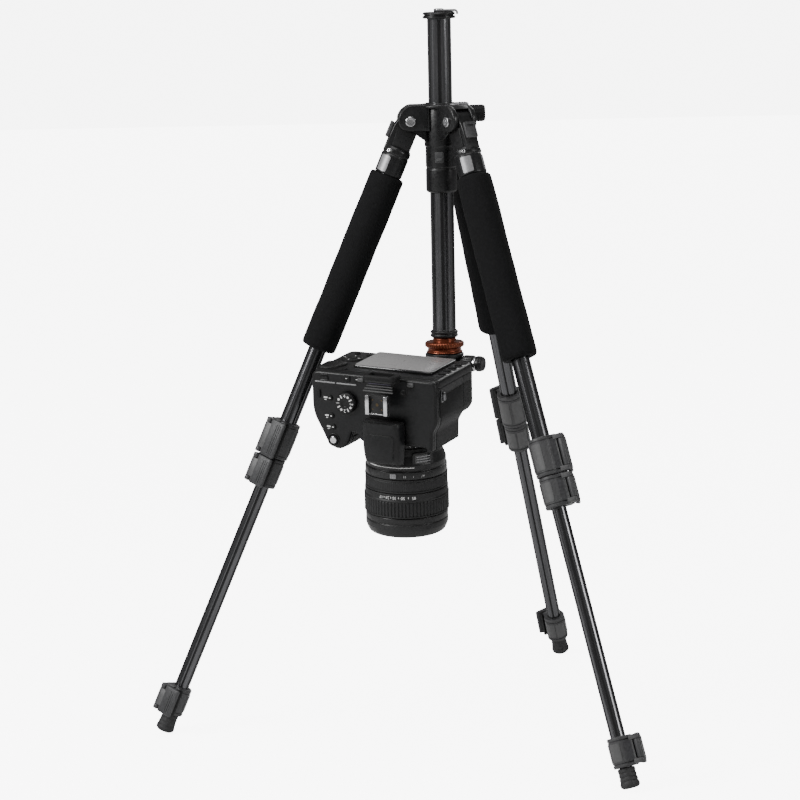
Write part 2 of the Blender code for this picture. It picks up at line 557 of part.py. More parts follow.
def build_leg(rig, key, finishes):
    """One leg: yoke, bolt, angle stop, four telescoping sections, three clamps, foot."""
    heading = LEG_HEADINGS[key]
    pivot = turn(heading, "Z") @ place(PIVOT_RADIUS, 0, PIVOT_HEIGHT)
    bolt_profile = [(0, -BOLT_HEAD_END), (BOLT_HEAD_RADIUS, -BOLT_HEAD_END),
                    (BOLT_HEAD_RADIUS, -BOLT_HEAD_START), (SHANK_RADIUS, -BOLT_HEAD_START),
                    (SHANK_RADIUS, BOLT_HEAD_START), (BOLT_HEAD_RADIUS, BOLT_HEAD_START),
                    (BOLT_HEAD_RADIUS, BOLT_HEAD_END), (0, BOLT_HEAD_END)]
    add(f"{key}_pivot_bolt", turned("bolt", bolt_profile, 12), finishes["steel"], rig,
        pivot @ ALONG_Y)
    leg = empty(f"{key}_leg_hinge", pivot @ turn(-LEG_SPREAD, "Y"), rig)

    tongue = arc(0, 0, YOKE_TOP_RADIUS, 180, 0, 8)
    tongue += [(13, -8), (13, -33), (-11, -33), (-11, -8)]
    yoke = add(f"{key}_yoke", prism("yoke", tongue, -YOKE_HALF_WIDTH, YOKE_HALF_WIDTH),
               finishes["black"], leg, UPRIGHT)
    lying = UPRIGHT.inverted()
    radius, start, end = YOKE_SLEEVE_RADIUS, YOKE_SLEEVE_START, YOKE_SLEEVE_END
    sleeve = [(0, -end), (radius, -end), (radius, -start - 2), (radius - 2, -start), (0, -start)]
    join(yoke, turned("sleeve", sleeve), lying)
    cut(yoke, turned("bolt_hole", rod_profile(SHANK_RADIUS + GAP, -20, 20), 12), lying @ ALONG_Y)
    cut(yoke, turned("tube_seat", rod_profile(TUBE_RADII[0] + GAP, -60, -33)), lying)
    cut(yoke, prism("tab_pocket", box(5, 20, -3.3, 3.3), -17.3, -10.7), lying)

    tab = add(f"{key}_angle_tab", prism("angle_tab", box(13.4, 16.4, -6.5, 6.5), -22, -6, 0.8),
              finishes["grey"], leg)
    join(tab, prism("tab_stem", box(9.5, 15, -3, 3), -17, -11))

    outer = TUBE_RADII
    upper = tube_profile(outer[0], outer[0] - TUBE_WALL, -UPPER_TUBE_END, -UPPER_TUBE_START)
    add(f"{key}_upper_tube", turned("upper_tube", upper), finishes["tube"], leg)
    foam = [(outer[0] + GAP, -FOAM_END), (FOAM_RADIUS - 1.5, -FOAM_END),
            (FOAM_RADIUS, -FOAM_END + 2), (FOAM_RADIUS, -FOAM_START - 2),
            (FOAM_RADIUS - 1.5, -FOAM_START), (outer[0] + GAP, -FOAM_START)]
    add(f"{key}_foam_grip", turned("foam_grip", foam), finishes["foam"], leg)

    clamp_start, clamp_end = CLAMPS["upper"]
    collar = rod_profile(CLAMP_RADII["upper"], -clamp_end, -clamp_start)
    clamp = add(f"{key}_upper_clamp", turned("upper_clamp", collar), finishes["black"], leg)
    clamp_ears(clamp, "upper")
    clamp_bore(clamp, "upper", outer[0])

    sections = (("second_section", "middle", SECOND_TUBE_START, 1),
                ("third_section", "lower", THIRD_TUBE_START, 2))
    for name, clamp_key, tube_start, index in sections:
        clamp_start, clamp_end = CLAMPS[clamp_key]
        inner = outer[index] - TUBE_WALL
        bar = rod_profile(outer[index], -clamp_end + 1, -tube_start)
        section = add(f"{key}_{name}", turned(name, bar), finishes["tube"], leg)
        collar = rod_profile(CLAMP_RADII[clamp_key], -clamp_end, -clamp_start)
        join(section, turned("collar", collar))
        clamp_ears(section, clamp_key)
        cut(section, turned("bore", rod_profile(inner, -clamp_end - 5, -tube_start + 5)))

    reach = math.radians(LEG_SPREAD)
    depth = max(r * math.sin(reach) + z * math.cos(reach) for r, z in FOOT_PROFILE)
    tip = (PIVOT_HEIGHT - depth) / math.cos(reach)
    foot = [(0, -FOOT_TUBE_START), (outer[3], -FOOT_TUBE_START),
            (outer[3], -tip - FOOT_PROFILE[0][1])]
    foot += [(r, -tip - z) for r, z in FOOT_PROFILE[1:]]
    add(f"{key}_foot_section", turned("foot_section", foot), finishes["rubber"], leg)

    for clamp_key in CLAMPS:
        build_lever(leg, f"{key}_{clamp_key}_lever", clamp_key, finishes["grey"])


def build():
    """Make the whole tripod, head and camera."""
    clear_scene()
    finishes = {
        "black": material("black_casting", (0.022, 0.022, 0.024), 0.42),
        "column": material("column_black", (0.045, 0.045, 0.05), 0.28, 0.6),
        "tube": material("leg_tube_grey", (0.075, 0.075, 0.08), 0.3, 0.8),
        "foam": material("foam_black", (0.011, 0.011, 0.012), 0.95),
        "grey": material("lever_grey", (0.10, 0.10, 0.105), 0.5),
        "steel": material("bright_steel", (0.62, 0.62, 0.62), 0.25, 1.0),
        "orange": material("orange_anodised", (0.45, 0.12, 0.04), 0.35, 0.5),
        "plastic": material("camera_plastic", (0.02, 0.02, 0.022), 0.5),
        "leather": material("camera_leatherette", (0.016, 0.016, 0.017), 0.65),
        "screen": material("screen_cover", (0.28, 0.27, 0.27), 0.2),
        "rubber": material("rubber_black", (0.013, 0.013, 0.014), 0.7),
    }
    rig = empty("column_axis", place(AXIS_X, AXIS_Y))
    lean = turn(CAMERA_LEAN, "X") @ turn(-CAMERA_HEADING, "Z")
    hang = Matrix(((-1, 0, 0, 0), (0, 0, -1, 0), (0, -1, 0, 0), (0, 0, 0, 1)))
    head = empty("ball_centre", place(z=BALL_HEIGHT) @ lean @ hang, rig)
    camera = empty("lens_mount_centre", place(0, SOCKET_BEHIND_MOUNT, STEM_TO_AXIS), head)

    build_spider(rig, finishes["black"])
    build_lock_knob(rig, finishes["black"])
    build_column(rig, finishes)
    build_head(rig, head, finishes)
    build_body(camera, finishes)
    build_controls(camera, finishes)
    build_lens(camera, finishes)
    for key in LEG_HEADINGS:
        build_leg(rig, key, finishes)


build()
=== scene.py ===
"""Looks for the tripod with its hung reflex camera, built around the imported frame.

Lengths are in millimetres until a mesh is made, when they become metres.  Each group
of pieces is drawn in the frame that it belongs to: the column axis, a leg, the ball
or the camera.  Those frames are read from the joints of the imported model.
"""
import json
import math

import bmesh
import bpy
from mathutils import Matrix, Vector, noise


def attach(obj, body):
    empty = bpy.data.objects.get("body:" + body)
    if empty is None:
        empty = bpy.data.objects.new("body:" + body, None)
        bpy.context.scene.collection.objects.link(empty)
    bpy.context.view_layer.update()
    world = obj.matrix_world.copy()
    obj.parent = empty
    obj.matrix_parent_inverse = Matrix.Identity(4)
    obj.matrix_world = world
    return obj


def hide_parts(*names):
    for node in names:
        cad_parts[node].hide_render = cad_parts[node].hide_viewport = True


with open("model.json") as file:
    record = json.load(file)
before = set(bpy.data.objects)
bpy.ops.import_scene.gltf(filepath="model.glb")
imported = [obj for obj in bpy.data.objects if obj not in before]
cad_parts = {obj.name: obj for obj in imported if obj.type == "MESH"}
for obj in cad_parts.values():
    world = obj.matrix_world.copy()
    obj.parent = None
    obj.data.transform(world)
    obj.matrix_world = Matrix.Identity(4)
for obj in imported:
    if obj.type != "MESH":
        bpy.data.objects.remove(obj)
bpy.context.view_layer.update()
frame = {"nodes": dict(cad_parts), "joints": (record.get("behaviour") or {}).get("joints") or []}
MM = 0.001
LEGS = ("left", "front", "rear")
joints = {joint["name"]: joint for joint in frame["joints"]}
SMOOTH_ANGLE = 38.0          # edges sharper than this, in degrees, stay sharp
VIEW_ROLL = -1.155           # how far the viewer leans, in degrees
FLOOR_GLOW, SURROUND_WHITE, SURROUND_SOFT = 7.5, 8.5, 0.2


# ---- frames of reference --------------------------------------------------------
def axes(origin, x, y, z):
    """A frame from its origin and three unit vectors."""
    made = Matrix((x, y, z)).transposed().to_4x4()
    made.translation = origin
    return made


def where(joint):
    """A hinge's pin, in metres."""
    return Vector(joints[joint]["pos_m"])


def along(joint):
    """A joint's unit axis."""
    return Vector(joints[joint]["axis"]).normalized()


def shift(x=0.0, y=0.0, z=0.0):
    return Matrix.Translation((x * MM, y * MM, z * MM))


def turn(angle, axis):
    return Matrix.Rotation(math.radians(angle), 4, axis)


pan = where("head_pan")
COLUMN = Matrix.Translation((pan.x, pan.y, 0.0))
lens_axis, stem_axis = along("focus_turn"), along("ball_roll")
side_axis = lens_axis.cross(stem_axis)
CAMERA = axes(where("focus_turn"), side_axis, lens_axis, stem_axis)
BALL = axes(where("ball_tilt"), side_axis, lens_axis, stem_axis)
LEG, PIVOT = {}, {}
for key in LEGS:
    down = along(f"{key}_second_slide")
    tangent = -along(f"{key}_leg_spread")
    LEG[key] = axes(where(f"{key}_leg_spread"), tangent.cross(-down), tangent, -down)
    outward = tangent.cross(Vector((0, 0, 1)))
    PIVOT[key] = axes(where(f"{key}_leg_spread"), outward, tangent, Vector((0, 0, 1)))
ALONG_X = turn(90, "Y")
ALONG_Y = turn(-90, "X")
UPRIGHT = turn(90, "X")


# ---- camera, floor and light ------------------------------------------------------
def set_view():
    """The viewer stands well back and looks slightly down on the object."""
    place = COLUMN @ Vector((0.0, -2.65062, 0.77433))
    aim = COLUMN @ Vector((-0.04464, 0.0, 0.32691))
    data = bpy.data.cameras.new("viewer")
    data.sensor_width, data.lens = 36.0, 123.3
    data.clip_start, data.clip_end = 0.1, 20.0
    viewer = bpy.data.objects.new("viewer", data)
    bpy.context.scene.collection.objects.link(viewer)
    aimed = (aim - place).to_track_quat("-Z", "Y").to_matrix().to_4x4()
    viewer.matrix_world = Matrix.Translation(place) @ aimed @ turn(VIEW_ROLL, "Z")
    bpy.context.scene.camera = viewer


def studio_white(nodes, links, lit, seen):
    """A shader that is bright to the camera and gives only soft light to the object."""
    path = nodes.new("ShaderNodeLightPath")
    mix = nodes.new("ShaderNodeMixShader")
    links.new(path.outputs["Is Camera Ray"], mix.inputs["Fac"])
    links.new(lit, mix.inputs[1])
    links.new(seen, mix.inputs[2])
    return mix.outputs["Shader"]


def set_stage():
    """A wide pale floor under a white surround, and soft lamps round the object."""
    bm = bmesh.new()
    corners = ((-9.0, -9.0), (9.0, -9.0), (9.0, 9.0), (-9.0, 9.0))
    bm.faces.new([bm.verts.new((x, y, -0.0004)) for x, y in corners])
    mesh = bpy.data.meshes.new("floor")
    bm.to_mesh(mesh)
    bm.free()
    floor = bpy.data.objects.new("floor", mesh)
    bpy.context.scene.collection.objects.link(floor)
    pale = bpy.data.materials.new("pale_paper")
    pale.use_nodes = True
    nodes, links = pale.node_tree.nodes, pale.node_tree.links
    shader = nodes["Principled BSDF"]
    shader.inputs["Base Color"].default_value = (0.8, 0.8, 0.8, 1)
    shader.inputs["Roughness"].default_value = 0.9
    glow = nodes.new("ShaderNodeEmission")
    glow.inputs["Strength"].default_value = FLOOR_GLOW
    both = nodes.new("ShaderNodeAddShader")
    links.new(shader.outputs["BSDF"], both.inputs[0])
    links.new(glow.outputs["Emission"], both.inputs[1])
    seen = studio_white(nodes, links, shader.outputs["BSDF"], both.outputs["Shader"])
    links.new(seen, nodes["Material Output"].inputs["Surface"])
    mesh.materials.append(pale)

    world = bpy.data.worlds.new("studio")
    world.use_nodes = True
    nodes, links = world.node_tree.nodes, world.node_tree.links
    soft = nodes["Background"]
    soft.inputs["Color"].default_value = (1.0, 1.0, 1.0, 1)
    soft.inputs["Strength"].default_value = SURROUND_SOFT
    white = nodes.new("ShaderNodeBackground")
    white.inputs["Strength"].default_value = SURROUND_WHITE
    seen = studio_white(nodes, links, soft.outputs["Background"], white.outputs["Background"])
    links.new(seen, nodes["World Output"].inputs["Surface"])
    bpy.context.scene.world = world
    lamps = (("key", (-1.9, -1.1, 1.5), 0.8, 54), ("fill", (2.0, -1.2, 1.1), 0.7, 15),
             ("rim", (0.9, 1.7, 1.6), 0.9, 11), ("top", (-0.2, -0.5, 2.3), 1.2, 18))
    for name, spot, size, power in lamps:
        lamp = bpy.data.lights.new(name, "AREA")
        lamp.shape, lamp.size, lamp.energy = "SQUARE", size, power
        lit = bpy.data.objects.new(name, lamp)
        bpy.context.scene.collection.objects.link(lit)
        facing = (Vector((0, 0, 0.35)) - Vector(spot)).to_track_quat("-Z", "Y")
        lit.matrix_world = Matrix.Translation(spot) @ facing.to_matrix().to_4x4()


# ---- materials --------------------------------------------------------------------
class Finish:
    """A Principled material whose colour, gloss and relief come from noise nodes."""

    def __init__(self, name, colour, rough, metal=0.0, **constants):
        self.material = bpy.data.materials.new(name)
        self.material.use_nodes = True
        self.nodes = self.material.node_tree.nodes
        self.links = self.material.node_tree.links
        self.shader = self.nodes["Principled BSDF"]
        self.colour, self.rough = colour, rough
        self.set("Base Color", (*colour, 1))
        self.set("Roughness", rough)
        self.set("Metallic", metal)
        for socket, value in constants.items():
            self.set(socket.replace("_", " "), value)
        self.place = self.nodes.new("ShaderNodeTexCoord").outputs["Object"]
        self.relief = None
        self.tone = None

    def set(self, socket, value):
        self.shader.inputs[socket].default_value = value

    def pattern(self, kind, scale, stretch=(1, 1, 1), detail=3.0):
        """A noise or cell pattern in the piece's own frame; scale is cells per metre."""
        mapping = self.nodes.new("ShaderNodeMapping")
        mapping.inputs["Scale"].default_value = [scale * part for part in stretch]
        self.links.new(self.place, mapping.inputs["Vector"])
        made = self.nodes.new("ShaderNodeTexNoise" if kind == "noise" else "ShaderNodeTexVoronoi")
        made.inputs["Scale"].default_value = 1.0
        if kind == "noise":
            made.inputs["Detail"].default_value = detail
        self.links.new(mapping.outputs["Vector"], made.inputs["Vector"])
        return made.outputs["Fac" if kind == "noise" else "Distance"]

    def spread(self, value, low, high, start=0.3, end=0.7):
        """Map a pattern onto the span from low to high."""
        made = self.nodes.new("ShaderNodeMapRange")
        for socket, number in (("From Min", start), ("From Max", end),
                               ("To Min", low), ("To Max", high)):
            made.inputs[socket].default_value = number
        self.links.new(value, made.inputs["Value"])
        return made.outputs["Result"]

    def mottle(self, pattern, dark=0.8, light=1.25):
        """Vary the colour between darker and lighter."""
        mix = self.nodes.new("ShaderNodeMix")
        mix.data_type = "RGBA"
        mix.inputs["A"].default_value = (*[part * dark for part in self.colour], 1)
        mix.inputs["B"].default_value = (*[min(1, part * light) for part in self.colour], 1)
        self.links.new(self.spread(pattern, 0, 1), mix.inputs["Factor"])
        self.tone = mix.outputs["Result"]
        self.links.new(self.tone, self.shader.inputs["Base Color"])
        return self

    def gloss(self, pattern, change=0.08):
        """Vary the roughness round its middle value."""
        low, high = max(0.02, self.rough - change), min(1, self.rough + change)
        self.links.new(self.spread(pattern, low, high), self.shader.inputs["Roughness"])
        return self

    def bump(self, pattern, strength, depth=0.0002):
        """Add relief; depth is in metres."""
        made = self.nodes.new("ShaderNodeBump")
        made.inputs["Strength"].default_value = strength
        made.inputs["Distance"].default_value = depth
        self.links.new(pattern, made.inputs["Height"])
        if self.relief:
            self.links.new(self.relief, made.inputs["Normal"])
        self.relief = made.outputs["Normal"]
        self.links.new(self.relief, self.shader.inputs["Normal"])
        return self

    def worn(self, colour, amount=0.5):
        """Rub the convex edges down to another colour."""
        geometry = self.nodes.new("ShaderNodeNewGeometry")
        edge = self.spread(geometry.outputs["Pointiness"], 0, amount, 0.52, 0.6)
        mix = self.nodes.new("ShaderNodeMix")
        mix.data_type = "RGBA"
        mix.inputs["A"].default_value = (*self.colour, 1)
        mix.inputs["B"].default_value = (*colour, 1)
        if self.tone:
            self.links.new(self.tone, mix.inputs["A"])
        self.links.new(edge, mix.inputs["Factor"])
        self.links.new(mix.outputs["Result"], self.shader.inputs["Base Color"])
        return self


def make_finishes():
    """Every finish on the object, by name."""
    made = {}

    def keep(name, *settings, **constants):
        made[name] = Finish(name, *settings, **constants)
        return made[name]

    cast = keep("black_casting", (0.008, 0.008, 0.0085), 0.34, Specular_IOR_Level=0.38)
    cast.mottle(cast.pattern("noise", 160)).gloss(cast.pattern("noise", 420), 0.1)
    cast.bump(cast.pattern("noise", 2600, detail=2), 0.35, 0.00012).worn((0.05, 0.05, 0.05), 0.4)
    tube = keep("leg_tube_grey", (0.12, 0.12, 0.125), 0.2, 0.95)
    tube.mottle(tube.pattern("noise", 900, (1, 1, 0.02)), 0.75, 1.3)
    tube.gloss(tube.pattern("noise", 1500, (1, 1, 0.01)), 0.09)
    tube.bump(tube.pattern("noise", 3000, (1, 1, 0.01)), 0.12, 0.00005)
    column = keep("column_black", (0.17, 0.17, 0.176), 0.2, 0.95)
    column.mottle(column.pattern("noise", 700, (1, 1, 0.02)), 0.8, 1.25)
    column.gloss(column.pattern("noise", 1200, (1, 1, 0.01)), 0.07)
    column.bump(column.pattern("noise", 2600, (1, 1, 0.01)), 0.1, 0.00005)
    foam = keep("foam_grip_black", (0.004, 0.004, 0.0044), 0.9, Specular_IOR_Level=0.22)
    foam.mottle(foam.pattern("noise", 300), 0.75, 1.35)
    foam.bump(foam.pattern("cells", 1500), 0.5, 0.0003).bump(foam.pattern("noise", 500), 0.3, 0.0004)
    grey = keep("lever_grey", (0.03, 0.03, 0.032), 0.44, Specular_IOR_Level=0.4)
    grey.mottle(grey.pattern("noise", 500), 0.7, 1.35).gloss(grey.pattern("noise", 900), 0.1)
    grey.bump(grey.pattern("cells", 1600), 0.4, 0.00018).worn((0.12, 0.12, 0.12), 0.6)
    plaque = keep("light_grey_inlay", (0.26, 0.26, 0.265), 0.38, 0.35)
    plaque.mottle(plaque.pattern("noise", 600), 0.85, 1.15)
    plaque.bump(plaque.pattern("noise", 2400), 0.2, 0.0001)
    steel = keep("bright_steel", (0.68, 0.68, 0.69), 0.2, 1.0)
    steel.mottle(steel.pattern("noise", 800), 0.85, 1.1).gloss(steel.pattern("noise", 2500), 0.08)
    steel.bump(steel.pattern("noise", 4000), 0.06, 0.00004)
    orange = keep("orange_anodised", (0.17, 0.038, 0.016), 0.32, 0.7)
    orange.mottle(orange.pattern("noise", 600), 0.8, 1.2)
    orange.gloss(orange.pattern("noise", 1500, (0.05, 0.05, 1)), 0.08)
    orange.worn((0.65, 0.26, 0.14), 0.6)
    plastic = keep("camera_plastic", (0.0055, 0.0055, 0.006), 0.36, Specular_IOR_Level=0.3)
    plastic.mottle(plastic.pattern("noise", 220)).gloss(plastic.pattern("noise", 500), 0.06)
    plastic.bump(plastic.pattern("cells", 2600), 0.35, 0.00009).worn((0.05, 0.05, 0.05), 0.3)
    leather = keep("camera_leatherette", (0.006, 0.006, 0.0064), 0.5, Specular_IOR_Level=0.3)
    leather.mottle(leather.pattern("noise", 350))
    leather.bump(leather.pattern("cells", 800), 0.8, 0.0004)
    leather.bump(leather.pattern("noise", 2600), 0.3, 0.0001)
    lens = keep("lens_plastic", (0.009, 0.009, 0.0094), 0.32, Specular_IOR_Level=0.4)
    lens.mottle(lens.pattern("noise", 240)).gloss(lens.pattern("noise", 700), 0.07)
    lens.bump(lens.pattern("noise", 3000), 0.2, 0.00006).worn((0.05, 0.05, 0.05), 0.3)
    ribbed = keep("lens_rubber", (0.009, 0.009, 0.0094), 0.52, Specular_IOR_Level=0.4)
    ribbed.mottle(ribbed.pattern("noise", 400)).bump(ribbed.pattern("noise", 2200), 0.3, 0.0001)
    rubber = keep("rubber_black", (0.0065, 0.0065, 0.0068), 0.6, Specular_IOR_Level=0.25)
    rubber.mottle(rubber.pattern("noise", 350)).bump(rubber.pattern("noise", 1600), 0.4, 0.00015)
    sole = keep("foot_rubber", (0.032, 0.032, 0.033), 0.6, Specular_IOR_Level=0.3)
    sole.mottle(sole.pattern("noise", 350), 0.65, 1.4).bump(sole.pattern("noise", 1600), 0.4, 0.00015)
    screen = keep("screen_cover", (0.26, 0.255, 0.255), 0.3, Specular_IOR_Level=0.3)
    screen.mottle(screen.pattern("noise", 12), 0.93, 1.07).gloss(screen.pattern("noise", 90), 0.05)
    border = keep("screen_border", (0.012, 0.012, 0.013), 0.12, Coat_Weight=0.6)
    border.gloss(border.pattern("noise", 120), 0.05)
    marks = keep("white_marks", (0.75, 0.75, 0.74), 0.5)
    marks.mottle(marks.pattern("noise", 1500), 0.85, 1.1)
    glass = keep("front_glass", (0.012, 0.010, 0.022), 0.03, Coat_Weight=1.0, Coat_Roughness=0.02,
                 Coat_Tint=(0.75, 0.6, 1.0, 1.0))
    glass.gloss(glass.pattern("noise", 60), 0.01)
    gold = keep("contact_gold", (0.10, 0.075, 0.045), 0.4, 1.0)
    gold.mottle(gold.pattern("noise", 900), 0.85, 1.1)
    return {name: finish.material for name, finish in made.items()}


# ---- mesh tools ---------------------------------------------------------------------
def to_mesh(bm, name):
    """Clean a bmesh drawn in millimetres and make a smooth-shaded mesh of it."""
    bmesh.ops.remove_doubles(bm, verts=bm.verts, dist=2e-4)
    bmesh.ops.recalc_face_normals(bm, faces=bm.faces)
    if bm.calc_volume(signed=True) < 0:
        bmesh.ops.reverse_faces(bm, faces=bm.faces)
    bmesh.ops.scale(bm, vec=(MM, MM, MM), verts=bm.verts)
    mesh = bpy.data.meshes.new(name)
    bm.to_mesh(mesh)
    bm.free()
    mesh.shade_smooth()
    mesh.set_sharp_from_angle(angle=math.radians(SMOOTH_ANGLE))
    return mesh


def loft(loops, cyclic=False, caps=True):
    """Skin a row of loops that all have the same number of points."""
    bm = bmesh.new()
    rings = [[bm.verts.new(point) for point in loop] for loop in loops]
    pairs = list(zip(rings, rings[1:]))
    if cyclic:
        pairs.append((rings[-1], rings[0]))
    count = len(rings[0])
    for low, high in pairs:
        for i in range(count):
            j = (i + 1) % count
            bm.faces.new((low[i], low[j], high[j], high[i]))
    if caps and not cyclic:
        bm.faces.new(rings[0][::-1])
        bm.faces.new(rings[-1])
    return to_mesh(bm, "loft")


def rounded(points, radius, steps=3, closed=True):
    """Round an outline's corners; an open one keeps its two ends."""
    made, count = [], len(points)
    for i, point in enumerate(points):
        if not closed and i in (0, count - 1):
            made.append(tuple(point))
            continue
        here = Vector(point[:2])
        before, after = Vector(points[i - 1][:2]), Vector(points[(i + 1) % count][:2])
        size = radius[i] if isinstance(radius, (list, tuple)) else radius
        if not size:
            made.append(tuple(point))
            continue
        start = here + (before - here) * min(0.48, size / max(1e-6, (before - here).length))
        end = here + (after - here) * min(0.48, size / max(1e-6, (after - here).length))
        for step in range(steps + 1):
            t = step / steps
            place = start * (1 - t) ** 2 + here * 2 * t * (1 - t) + end * t ** 2
            made.append((place.x, place.y, *point[2:]))
    return made


def turned(profile, sides=64, fillet=0.5, shape=None, steps=2):
    """A body of revolution about Z from (radius, z) points with its corners eased.

    A third number in a point is how strongly shape(angle), in millimetres, moves it.
    """
    solid = profile[0][0] == 0 and profile[-1][0] == 0
    eased = rounded(profile, fillet, steps, closed=not solid) if fillet else profile
    loops = []
    for point in eased:
        weight = point[2] if len(point) > 2 else 0.0
        loop = []
        for side in range(sides):
            angle = math.tau * side / sides
            radius = point[0] + (weight * shape(angle) if shape and weight else 0.0)
            loop.append((radius * math.cos(angle), radius * math.sin(angle), point[1]))
        loops.append(loop)
    return loft(loops, cyclic=not solid, caps=False)


def rod(radius, low, high, sides=24, fillet=0.0):
    """A plain round bar about Z."""
    return turned([(0, low), (radius, low), (radius, high), (0, high)], sides, fillet)


def slab(outline, low, high, edge=0.6, steps=2):
    """An outline in XY carried from low to high with both rims eased."""
    edge = min(edge, (high - low) / 2.01)
    rim = eased_rim(edge, steps)
    levels = [(low + rise, inset) for rise, inset in rim]
    return shell(outline, levels + [(high - rise, inset) for rise, inset in reversed(rim)])


def eased_rim(edge, steps=2):
    """(rise, inset) pairs that round a rim over a quarter circle."""
    turns = [math.pi / 2 * step / steps for step in range(steps + 1)]
    return [(edge * (1 - math.cos(a)), edge * (1 - math.sin(a))) for a in turns]


def inset_outline(outline, amount):
    """Move an anticlockwise outline inward."""
    if not amount:
        return outline
    made, count = [], len(outline)
    for i, point in enumerate(outline):
        here = Vector(point)
        before, after = Vector(outline[i - 1]), Vector(outline[(i + 1) % count])
        first, second = here - before, after - here
        first = first.normalized() if first.length > 1e-9 else second.normalized()
        second = second.normalized() if second.length > 1e-9 else first
        normal = Vector((-first.y - second.y, first.x + second.x))
        length = normal.length
        if length < 1e-6:
            made.append(tuple(here))
            continue
        normal /= length
        lengthen = min(2.0, 2.0 / length)
        made.append(tuple(here + normal * amount * lengthen))
    return made


def signed_area(outline):
    return sum(a[0] * b[1] - b[0] * a[1] for a, b in zip(outline, outline[1:] + outline[:1])) / 2


def shell(outline, levels):
    """Stack an outline at (z, inset) levels."""
    if signed_area(outline) < 0:
        outline = outline[::-1]
    return loft([[(x, y, z) for x, y in inset_outline(outline, inset)] for z, inset in levels])


def rectangle(x0, x1, y0, y1, radius=0.0, steps=3):
    points = [(x0, y0), (x1, y0), (x1, y1), (x0, y1)]
    return rounded(points, radius, steps) if radius else points


def arc(cx, cy, radius, start, end, steps):
    angles = [math.radians(start + (end - start) * step / steps) for step in range(steps + 1)]
    return [(cx + radius * math.cos(a), cy + radius * math.sin(a)) for a in angles]


def wrap(mesh, radius):
    """Bend a flat mesh round Z: x becomes arc length, y height and z thickness."""
    for vertex in mesh.vertices:
        angle = vertex.co.x / (radius * MM)
        out = radius * MM + vertex.co.z
        vertex.co = (out * math.cos(angle), out * math.sin(angle), vertex.co.y)
    return mesh


def fine_sheet(x0, x1, y0, y1, radius, thick, cuts=10):
    """A thin rounded plate cut into strips, ready to wrap."""
    bm = bmesh.new()
    face = bm.faces.new([bm.verts.new((x, y, 0)) for x, y in rectangle(x0, x1, y0, y1, radius)])
    for cut in range(1, cuts):
        plane = Vector((x0 + (x1 - x0) * cut / cuts, 0, 0))
        bmesh.ops.bisect_plane(bm, geom=bm.verts[:] + bm.edges[:] + bm.faces[:],
                               plane_co=plane, plane_no=(1, 0, 0))
    grown = bmesh.ops.extrude_face_region(bm, geom=bm.faces[:])
    moved = [part for part in grown["geom"] if isinstance(part, bmesh.types.BMVert)]
    bmesh.ops.translate(bm, vec=(0, 0, thick), verts=moved)
    return to_mesh(bm, "sheet")


def text_mesh(words, height):
    """Flat generic figures, standing on the XY plane with their middle on the origin."""
    curve = bpy.data.curves.new("figures", "FONT")
    curve.body, curve.size, curve.extrude = words, height * MM, 0.00004
    curve.align_x, curve.align_y = "CENTER", "CENTER"
    carrier = bpy.data.objects.new("figures", curve)
    bpy.context.scene.collection.objects.link(carrier)
    bpy.context.view_layer.update()
    evaluated = carrier.evaluated_get(bpy.context.evaluated_depsgraph_get())
    mesh = bpy.data.meshes.new_from_object(evaluated)
    bpy.data.objects.remove(carrier, do_unlink=True)
    bpy.data.curves.remove(curve)
    return mesh


def merged(parts):
    """Put several meshes, each with its own matrix, into one."""
    bm = bmesh.new()
    for mesh, matrix in parts:
        copy = mesh.copy()
        copy.transform(matrix)
        bm.from_mesh(copy)
        bpy.data.meshes.remove(copy)
    mesh = bpy.data.meshes.new("merged")
    bm.to_mesh(mesh)
    bm.free()
    mesh.shade_smooth()
    mesh.set_sharp_from_angle(angle=math.radians(SMOOTH_ANGLE))
    return mesh


def show(name, mesh, finish, body, matrix, *replaced):
    """Make a piece of a mesh and let it ride on a body."""
    piece = bpy.data.objects.new(name, mesh)
    bpy.context.scene.collection.objects.link(piece)
    mesh.materials.clear()
    mesh.materials.append(FINISH[finish])
    piece.matrix_world = matrix
    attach(piece, body)
    if replaced:
        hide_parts(*replaced)
    return piece


def carve(mesh, *cutters):
    """Cut (mesh, matrix) shapes out of a mesh."""
    target = bpy.data.objects.new("target", mesh)
    bpy.context.scene.collection.objects.link(target)
    helpers = []
    for cutter, matrix in cutters:
        helper = bpy.data.objects.new("cutter", cutter)
        bpy.context.scene.collection.objects.link(helper)
        helper.matrix_world = matrix
        step = target.modifiers.new("cut", "BOOLEAN")
        step.operation, step.solver, step.object = "DIFFERENCE", "EXACT", helper
        helpers.append(helper)
    bpy.context.view_layer.update()
    evaluated = target.evaluated_get(bpy.context.evaluated_depsgraph_get())
    made = bpy.data.meshes.new_from_object(evaluated)
    for thing in (target, *helpers):
        bpy.data.objects.remove(thing, do_unlink=True)
    made.shade_smooth()
    made.set_sharp_from_angle(angle=math.radians(SMOOTH_ANGLE))
    return made


set_view()
set_stage()
FINISH = make_finishes()


# ---- spider -------------------------------------------------------------------------
def fluted(angle, count=6, half=9.0, first=30.0):
    """How deep, from 0 to -1, the wall is pressed in at an angle: count shallow flutes."""
    pitch = 360 / count
    off = abs((math.degrees(angle) - first + pitch / 2) % pitch - pitch / 2)
    depth = min(1.0, max(0.0, (half - off) / (half * 0.4)))
    return -depth * depth * (3 - 2 * depth)


